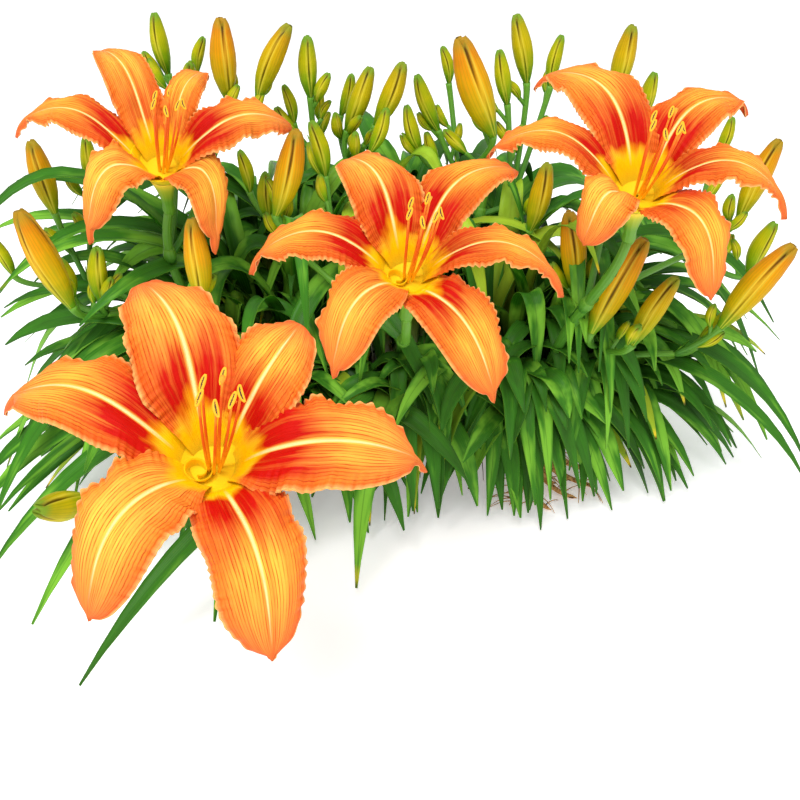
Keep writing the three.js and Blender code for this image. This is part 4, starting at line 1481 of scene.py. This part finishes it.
@dataclass
class Stalks:
    """Branched flower stalks with their bracts, flower tubes and buds."""

    skin: Material
    bud: Material
    leaf: Material
    base_radius: float = 3.1
    top_radius: float = 2.3
    stalk_sides: int = 14
    bract_places: tuple[tuple[int, float], ...] = ((13, 26), (22, 18))
    branch_bract: float = 11.0
    branch_radii: tuple[float, float] = (2.0, 1.75)
    low_branch_radii: tuple[float, float] = (1.9, 1.7)
    pedicel_radius: float = 1.6
    branch_sides: int = 10
    budlet_stem_radii: tuple[float, float] = (1.1, 1.2)
    budlet_stem_sides: int = 8
    budlet_lengths: tuple[float, float] = (12, 19)
    long_bud: float = 26.0
    tube_depth: float = 18.0
    tube_length: float = 26.0
    tube_overlap: float = 3.0
    tube_radius: float = 7.2
    tube_foot: float = 2.6
    tube_sides: int = 24
    bud_aspect: float = 0.161
    young_aspect: float = 0.195
    least_bud_radius: float = 3.4
    small_bud: float = 20.0
    bud_rings: int = 32
    bud_sides: int = 24
    bud_profile: tuple[tuple[float, float], ...] = (
        (0, 0.27), (0.05, 0.36), (0.14, 0.57), (0.3, 0.86), (0.46, 0.99), (0.6, 1.0), (0.76, 0.88),
        (0.88, 0.71), (0.95, 0.58), (1, 0.34))
    ripening_length: float = 34.0
    ripening_span: float = 10.0

    def curve(self, name: int, t: Array) -> tuple[Array, Array]:
        """Follow the middle line of a stalk.

        Args:
            name: the stalk's number.
            t: places along it, from 0 to 1.

        Returns:
            The points there and the unit tangents.
        """
        stalk = STALKS[name]
        if stalk.end:
            end = vec(*stalk.end)
        else:
            flower = FLOWERS[name]
            end = flower.point(0, 0, -(self.tube_depth + self.tube_length) * flower.size)
        foot = vec(*stalk.foot, CROWN_TOP - 1)
        return bezier([foot, vec(*stalk.bend[0]), vec(*stalk.bend[1]), end], t)

    def fork(self, name: int, share: float) -> tuple[Array, Array]:
        """Find the place where a branch leaves a stalk.

        Args:
            name: the stalk's number.
            share: how much of the stalk's length lies below that place.

        Returns:
            The point there and the unit tangent.
        """
        path, tangent = self.curve(name, steps(101))
        lengths = np.concatenate([[0], np.cumsum(np.linalg.norm(np.diff(path, axis=0), axis=1))])
        place = int(np.searchsorted(lengths, share * lengths[-1]))
        return path[place], tangent[place]

    def bract(self, tissue: Tissue, foot: Array, direction: Array, length: float, seed: float) -> None:
        """Add a bract: a small pointed scale that clasps a stalk or a branch.

        Args:
            tissue: what it is added to.
            foot: where it starts.
            direction: the way it points.
            length: its length.
            seed: the third number of its marks.
        """
        t = steps(9)
        across = np.linspace(-1, 1, 5)
        along = unit(direction)
        side = unit(np.cross(along, vec(0.3, 0.2, 1)))
        back = np.cross(side, along)
        half = (0.16 * length * eased(t / 0.3 + 0.5) * (1 - t ** 1.6) + 0.25)[:, None]
        middle = foot + along * (length * t)[:, None] + back * (1.6 + 0.10 * length * t ** 2)[:, None]
        grid = (middle[:, None] + side * (half * across)[..., None]
                - back * (0.6 * half * across ** 2)[..., None])
        tissue.sheet(grid, 0.4, stacked(across, 0.2 + 0.75 * t[:, None], seed))

    def stalk(self, name: int) -> None:
        """Build one stalk, with its bracts and the tube below its flower.

        Args:
            name: the stalk's number.
        """
        tissue, bracts = Tissue(), Tissue()
        t = steps(30)
        path, tangent = self.curve(name, t)
        # The stalk swells a little where its bracts grow.
        nodes = bell(t - 0.45, 0.018) + bell(t - 0.75, 0.018)
        radius = mix(self.base_radius, self.top_radius, t) * (1 + 0.18 * nodes)
        tissue.limb(path, radius, 0.0, self.stalk_sides)
        for place, length in self.bract_places:
            self.bract(bracts, path[place], tangent[place], length, chance(name, place))
        if name in FLOWERS:
            self.tube(tissue, FLOWERS[name])
        tissue.piece(f"stalk_{name}_stem", self.skin, "stalk", f"stalk_{name}")
        bracts.piece(f"stalk_{name}_bracts", self.leaf, "leaf")

    def tube(self, tissue: Tissue, flower: Flower) -> None:
        """Add a flower's tube, which widens from the stalk's end to the throat.

        Args:
            tissue: what it is added to.
            flower: the flower that it belongs to.
        """
        t = steps(22)
        length = self.tube_length + self.tube_overlap
        low = (self.tube_depth + length) * flower.size
        line = flower.point(0, 0, (length * flower.size - SEAT_GAP) * t - low)
        ridge = 0.05 * np.cos(3 * turns(self.tube_sides)) * t[:, None]
        width = mix(self.tube_foot, self.tube_radius * flower.size, t ** 2.2) + 0.7 * bell(t - 0.12, 0.09)
        tissue.limb(line, width, 1.0, self.tube_sides, ridge)
        tissue.marks[-1][:, 2] = 1 + tissue.marks[-1][:, 1] ** 1.3

    def closed_bud(self, tissue: Tissue, foot: Array, direction: Array, length: float,
                   ripe: float | None = None) -> None:
        """Add a bud: three overlapping sepals folded to a spindle, with dark grooves between.

        Args:
            tissue: what it is added to.
            foot: where it starts.
            direction: the way it points.
            length: its length.
            ripe: from 0, green, to 1, about to open; by its length where it isn't given.
        """
        seed = chance(foot[0], foot[1])
        if ripe is None:
            radius = max(self.least_bud_radius, length * self.bud_aspect * mix(0.86, 1.04, seed))
            ripe = np.clip((length - self.ripening_length) / self.ripening_span + 0.6 * (seed - 0.5), 0, 1)
        else:
            radius = length * self.young_aspect
        rings, sides = self.bud_rings, self.bud_sides
        if length < self.small_bud:
            rings, sides = rings * 2 // 3, sides * 3 // 4
        t = steps(rings)
        bow = np.cross(direction, level(9 * seed))
        line = foot + direction * (length * t)[:, None] + bow * (1.4 * np.sin(math.pi * t))[:, None]
        first, second = (normal[0] for normal in frames_along(line))
        facing = math.atan2(-second[1], -first[1]) + 0.9 * (seed - 0.5)
        phase = 0.3 * (t[:, None] - 0.5) - facing
        # The gap is 0 in the groove between two sepals and 1 on the middle of a sepal.
        gap = np.abs((3 * (turns(sides) + phase) / TAU + 0.5) % 1 - 0.5) * 2
        opened = np.clip((t - 0.03) / 0.3, 0, 1)[:, None]
        ridge = -(0.2 + 0.2 * t[:, None] ** 6) * bell(gap, 0.13) * opened + 0.05 * (gap - 0.5)
        tissue.limb(line, radius * np.interp(t, *zip(*self.bud_profile)), 0.0, sides, ridge)
        # The sepals part a little at the tip.
        parted = np.clip((t[:, None] - 0.82) / 0.18, 0, 1) ** 1.5
        splay = direction * (0.15 * length * (np.minimum(1, gap / 0.4) - 0.75) * parted)[..., None]
        tissue.points[-1] += splay.reshape(-1, 3)
        tissue.marks[-1][:, 0] = gap.ravel()
        tissue.marks[-1][:, 2] = ripe

    def budlets(self, buds: Tissue, stems: Tissue, stem: Array, direction: Array, length: float) -> None:
        """Add the small green buds that stand beside the pedicel of a larger one.

        Args:
            buds: what the buds are added to.
            stems: what their own pedicels are added to.
            stem: the points of the larger bud's pedicel.
            direction: the way that the larger bud points.
            length: the larger bud's length.
        """
        for k in range(2 if length > self.long_bud else 1):
            draw = chance(length + k, stem[0][0])
            start = stem[3 + 4 * k]
            lean = unit(direction + 0.55 * level(TAU * (draw + 0.5 * k)))
            foot = start + lean * mix(6, 10, draw)
            line, _ = bezier([start, start + unit(lean + direction) * 3, foot + lean], steps(7))
            stems.limb(line, mix(*self.budlet_stem_radii, steps(7)), 0.6, self.budlet_stem_sides)
            self.closed_bud(buds, foot, lean, mix(*self.budlet_lengths, chance(draw, k)), 0.0)

    def cluster(self, name: int) -> None:
        """Build the buds of one stalk, on the branches that carry them.

        Args:
            name: the stalk's number.
        """
        cluster = CLUSTERS[name]
        start, axis = self.fork(name, cluster.at)
        buds, stems, bracts = Tissue(), Tissue(), Tissue()
        # The stalk swells where its branches leave it.
        place = np.linspace(-1, 1, 7)
        swell = mix(self.base_radius, self.top_radius, cluster.at) + 0.4 + 0.8 * bell(place, 0.6)
        stems.limb(start + axis * 4.5 * place[:, None], swell, 0.0, self.stalk_sides)
        for branch in cluster.branches:
            feet = np.array([bud[:3] for bud in branch], float)
            end = mix(feet.mean(axis=0), start, 0.3)
            end[2] = max(start[2] + 6, feet[:, 2].min() - 14)
            bend = start + unit((end - start) * LEVEL) * 12 + UP * 3
            path, _ = bezier([start, bend, end], steps(16))
            stems.limb(path, mix(*self.branch_radii, steps(16)), 0.0, self.branch_sides)
            for foot, (*_, lean, length) in zip(feet, branch):
                direction = unit(vec(lean, -0.06, 1))
                rise = direction * min(9.0, 0.5 * float(np.linalg.norm(foot - end)))
                stem, _ = bezier([end, foot - rise, foot + direction], steps(12))
                girth = self.pedicel_radius + 0.7 * steps(12) ** 4 * length / 40
                stems.limb(stem, girth, 0.6, self.branch_sides)
                self.closed_bud(buds, foot, direction, length)
                self.bract(bracts, end, foot - end, self.branch_bract, chance(length, foot[0]))
                self.budlets(buds, stems, stem, direction, length)
        buds.piece(f"stalk_{name}_buds", self.bud, "bud", f"buds_{name}")
        stems.piece(f"stalk_{name}_branches", self.skin, "stalk")
        bracts.piece(f"stalk_{name}_bud_bracts", self.leaf, "leaf")

    def low_bud(self, low: LowBud) -> None:
        """Build the green bud that hangs out low on a side branch of the front stalk.

        Args:
            low: where it hangs, and its size.
        """
        start, _ = self.fork(low.stalk, low.at)
        foot, direction = vec(*low.foot), unit(vec(*low.toward))
        stem, bud = Tissue(), Tissue()
        t = steps(26)
        line, _ = bezier([start, start + vec(*low.bend), foot - direction * 26, foot + direction], t)
        stem.limb(line, mix(*self.low_branch_radii, t) + 0.6 * t ** 6, 0.4, self.branch_sides)
        self.closed_bud(bud, foot, direction, low.length, low.ripe)
        stem.piece("stalk_1_side_branch", self.skin, "stalk")
        bud.piece("stalk_1_side_bud", self.bud, "bud")

    def build(self) -> None:
        """Build all stalks and their buds."""
        self.low_bud(LowBud())
        for name in STALKS:
            self.stalk(name)
        for name in CLUSTERS:
            self.cluster(name)


# ---- Crown and roots --------------------------------------------------------------------
@dataclass
class Rootstock:
    """The crown with its fibres, and the fleshy roots that spread from under it."""

    fibre: Material
    root: Material
    half_width: float = 122.0
    half_depth: float = 51.0
    underside: float = 32.0
    crown_sides: int = 96
    fibre_count: int = 320
    fibre_lengths: tuple[float, float] = (8, 26)
    hair_radius: float = 0.55
    hair_sides: int = 4
    root_radius: float = 4.6
    roots_per_bundle: int = 5
    root_spacing: float = 17.0
    root_reach: tuple[float, float] = (38, 54)
    thin_reach: float = 0.78
    thin_girth: float = 0.72
    root_sides: int = 16
    rootlets_per_root: int = 9
    rootlet_lengths: tuple[float, float] = (7, 19)
    hub: tuple[float, float, float] = (92.0, 26.0, 0.0)
    plate_depth: float = 7.0
    lowest: float = 0.5

    def crown(self) -> None:
        """Build the crown: a low uneven disc covered with old fibres."""
        tissue = Tissue()
        turn = turns(self.crown_sides)
        profile = [(0.02, self.underside), (0.55, self.underside), (0.94, self.underside + 0.5),
                   (1.0, self.underside + 5), (0.98, CROWN_TOP - 4), (0.94, CROWN_TOP - 0.5),
                   (0.55, CROWN_TOP + 0.2), (0.02, CROWN_TOP + 0.2)]
        place = np.linspace(0, len(profile) - 1, 29)
        radius, height = (np.interp(place, range(len(profile)), column) for column in zip(*profile))
        lumps = 0.05 * np.sin(6 * turn + 0.4) + 0.03 * np.sin(11 * turn + 2) + 0.02 * np.sin(23 * turn)
        reach = radius[:, None] * (0.96 + lumps)
        rings = stacked(self.half_width * reach * np.cos(turn), self.half_depth * reach * np.sin(turn),
                        height[:, None])
        tissue.tube(rings, np.zeros_like(rings))
        for k in range(self.fibre_count):
            self.strand(tissue, k)
        tissue.piece("crown_fibres", self.fibre, "crown", "crown")

    def strand(self, tissue: Tissue, k: int) -> None:
        """Add one fibre that stands out from the crown's edge and hangs down.

        Args:
            tissue: what it is added to.
            k: which fibre, from 0.
        """
        a = TAU * chance(k, 71)
        away = level(a)
        start = away * vec(self.half_width, self.half_depth, 0) * mix(0.86, 0.99, chance(k, 72))
        start = start + UP * mix(self.underside + 3, CROWN_TOP - 2, chance(k, 73))
        length = mix(*self.fibre_lengths, chance(k, 74))
        side = np.cross(UP, away) * 14 * (chance(k, 75) - 0.5)
        drop = UP * length * mix(0.2, 0.9, chance(k, 76))
        path, _ = bezier([start, start + away * length * 0.5 + side * 0.4,
                          start + away * length * 0.6 + side - drop], steps(8))
        tissue.limb(path, mix(self.hair_radius, 0.18, steps(8)), 0.0, self.hair_sides)

    def thickness(self, along: Array) -> Array:
        """Radius of a fleshy root along its length: thin, swollen, then a long taper."""
        swelling = np.sin(math.pi * np.minimum(1, along / 0.75 + 0.12)) ** 2
        return self.root_radius * (0.42 + 0.58 * swelling) * (1 - 0.45 * along ** 3)

    def bundle(self, side: str, quarter: int) -> None:
        """Build the roots under a quarter of the crown, spread out on the surface.

        As many thin roots lie between the thick ones as there are thick ones.

        Args:
            side: the name of the quarter.
            quarter: its number from 0, anticlockwise from above.
        """
        middle = math.radians(45 + 90 * quarter)
        hub = level(middle) * vec(*self.hub)
        top = self.underside - SEAT_GAP
        tissue = Tissue()
        for k in range(self.roots_per_bundle * 2):
            thick = k < self.roots_per_bundle
            spot = k if thick else k - self.roots_per_bundle - 0.5
            swing = (spot - (self.roots_per_bundle - 1) / 2) * self.root_spacing
            heading = middle + math.radians(swing + 6 * (chance(quarter, k) - 0.5))
            reach = mix(*self.root_reach, chance(k, quarter + 7)) * (1 if thick else self.thin_reach)
            along = steps(40)
            girth = self.thickness(along) * (1 if thick else self.thin_girth)
            lift = (top - self.plate_depth + 0.5) * (1 - along) ** (1.7 if thick else 1.3)
            out = 6 + reach * along ** 0.9
            sway = 5 * np.sin(5 * along + k) * along
            path = np.stack([hub[0] + out * math.cos(heading) - sway * math.sin(heading),
                             hub[1] + out * math.sin(heading) + sway * math.cos(heading), lift + girth], -1)
            wrinkle = (0.05 * np.sin(70 * along + 9 * chance(k, 5))[:, None]
                       + 0.04 * np.sin(3 * turns(self.root_sides) + k))
            shrink = np.clip((1 - along) / 0.06, 0.25, 1)
            tissue.limb(path, girth * 0.94 * shrink, chance(k, quarter), self.root_sides, wrinkle)
            self.rootlets(tissue, path, girth, quarter * 40 + k)
        tissue.piece(f"roots_{side}_fleshy", self.root, "root", f"roots_{side}")

    def rootlets(self, tissue: Tissue, path: Array, girth: Array, seed: int) -> None:
        """Add the hair-like side roots of one fleshy root.

        Args:
            tissue: what they are added to.
            path: the points of the fleshy root's middle line.
            girth: its radius at each of them.
            seed: the fleshy root's own number.
        """
        for k in range(self.rootlets_per_root):
            at = int(mix(4, 36, chance(seed, k + 0.5)))
            away = unit(level(TAU * chance(seed + 1, k + 0.3), 0.1))
            length = mix(*self.rootlet_lengths, chance(seed + 2, k))
            start = path[at]
            end = start + away * length + 6 * vec(chance(k, seed) - 0.5, chance(seed, k) - 0.5, 0)
            end[2] = max(self.lowest, start[2] - girth[at] * 0.6 - 0.3 * length)
            line, _ = bezier([start, start + away * length * 0.5 + UP * 2, end], steps(9))
            line[:, 2] = np.maximum(line[:, 2], self.lowest)
            tissue.limb(line, mix(self.hair_radius, 0.22, steps(9)), 0.4, self.hair_sides)

    def build(self) -> None:
        """Build the crown and the four bundles of roots."""
        self.crown()
        for quarter, side in enumerate(("back_right", "back_left", "front_left", "front_right")):
            self.bundle(side, quarter)


# ---- Stage ------------------------------------------------------------------------------
@dataclass(frozen=True)
class Lamp:
    """A soft square lamp: its place and the length of its side in metres, and its watts."""

    name: str
    place: tuple[float, float, float]
    size: float
    power: float


@dataclass(frozen=True)
class Studio:
    """A white floor, soft lights and the camera.

    The camera's distance and height are millimetres; the floor's size and what the lamps aim
    at are in metres. The camera's pitch is in degrees below the horizon.
    """

    camera_distance: float = 540.0
    camera_height: float = 350.0
    camera_pitch: float = 30.0
    lens: float = 45.0
    sensor: float = 36.0
    floor_size: float = 30.0
    exposure: float = -0.15
    white: str = "#FFFFFF"
    glow: float = 0.34
    surround: float = 0.8
    lamps: tuple[Lamp, ...] = (
        Lamp("key", (-0.3, -0.8, 1.5), 0.8, 27), Lamp("fill", (1.1, -0.5, 1.0), 1.4, 4))
    aim: tuple[float, float, float] = (0, -0.05, 0.12)

    def floor(self) -> None:
        """Lay the white floor, whose slight glow keeps the paper white between the shadows."""
        bpy.ops.mesh.primitive_plane_add(size=self.floor_size)
        floor = bpy.context.object
        floor.name = "floor"
        floor.data.materials.append(Ink("white_paper_floor").close(
            Base_Color=self.white, Roughness=0.9, Emission_Color=self.white, Emission_Strength=self.glow))

    def lights(self) -> None:
        """Set one large key light, a weaker fill and a white surround."""
        world = bpy.data.worlds.new("white_surround")
        bpy.context.scene.world = world
        world.use_nodes = True
        background = world.node_tree.nodes["Background"].inputs
        background["Color"].default_value = srgb(self.white)
        background["Strength"].default_value = self.surround
        for lamp in self.lamps:
            data = bpy.data.lights.new(lamp.name, "AREA")
            data.size = lamp.size
            data.energy = lamp.power
            light = placed(lamp.name, data)
            light.location = lamp.place
            ray = Vector(self.aim) - light.location
            light.rotation_euler = ray.to_track_quat("-Z", "Y").to_euler()

    def camera(self) -> None:
        """Place the camera in front of the clump, looking down on it."""
        data = bpy.data.cameras.new("camera")
        data.lens = self.lens
        data.sensor_width = self.sensor
        camera = placed("camera", data)
        camera.location = vec(0, -self.camera_distance, self.camera_height) * MM + SHIFT
        camera.rotation_euler = (math.radians(90 - self.camera_pitch), 0, 0)
        bpy.context.scene.camera = camera

    def build(self) -> None:
        """Set up floor, lights, camera and plain colours."""
        self.floor()
        self.lights()
        self.camera()
        view = bpy.context.scene.view_settings
        view.view_transform = "Standard"
        view.exposure = self.exposure


def main() -> None:
    """Build the studio and every sub-assembly."""
    logging.basicConfig(level=logging.INFO, format="%(name)s: %(message)s")
    Studio().build()
    leaf = LeafSkin().make("satin_strap_leaf")
    LeafFans(leaf).build()
    Stalks(StalkSkin().make("firm_green_stalk"), BudSkin().make("waxy_bud"), leaf).build()
    petal = TepalSkin(light="#FDC148", deep="#EC7824").make("velvety_petal")
    sepal = TepalSkin(light="#FCC144", deep="#EA7624").make("velvety_sepal")
    Flowers(petal, sepal, FilamentSkin().make("moist_filament"), PollenSac().make("dusty_anther")).build()
    Rootstock(CrownFibre().make("old_leaf_fibre"), RootSkin().make("fleshy_root_skin")).build()


if __name__ == "__main__":
    main()
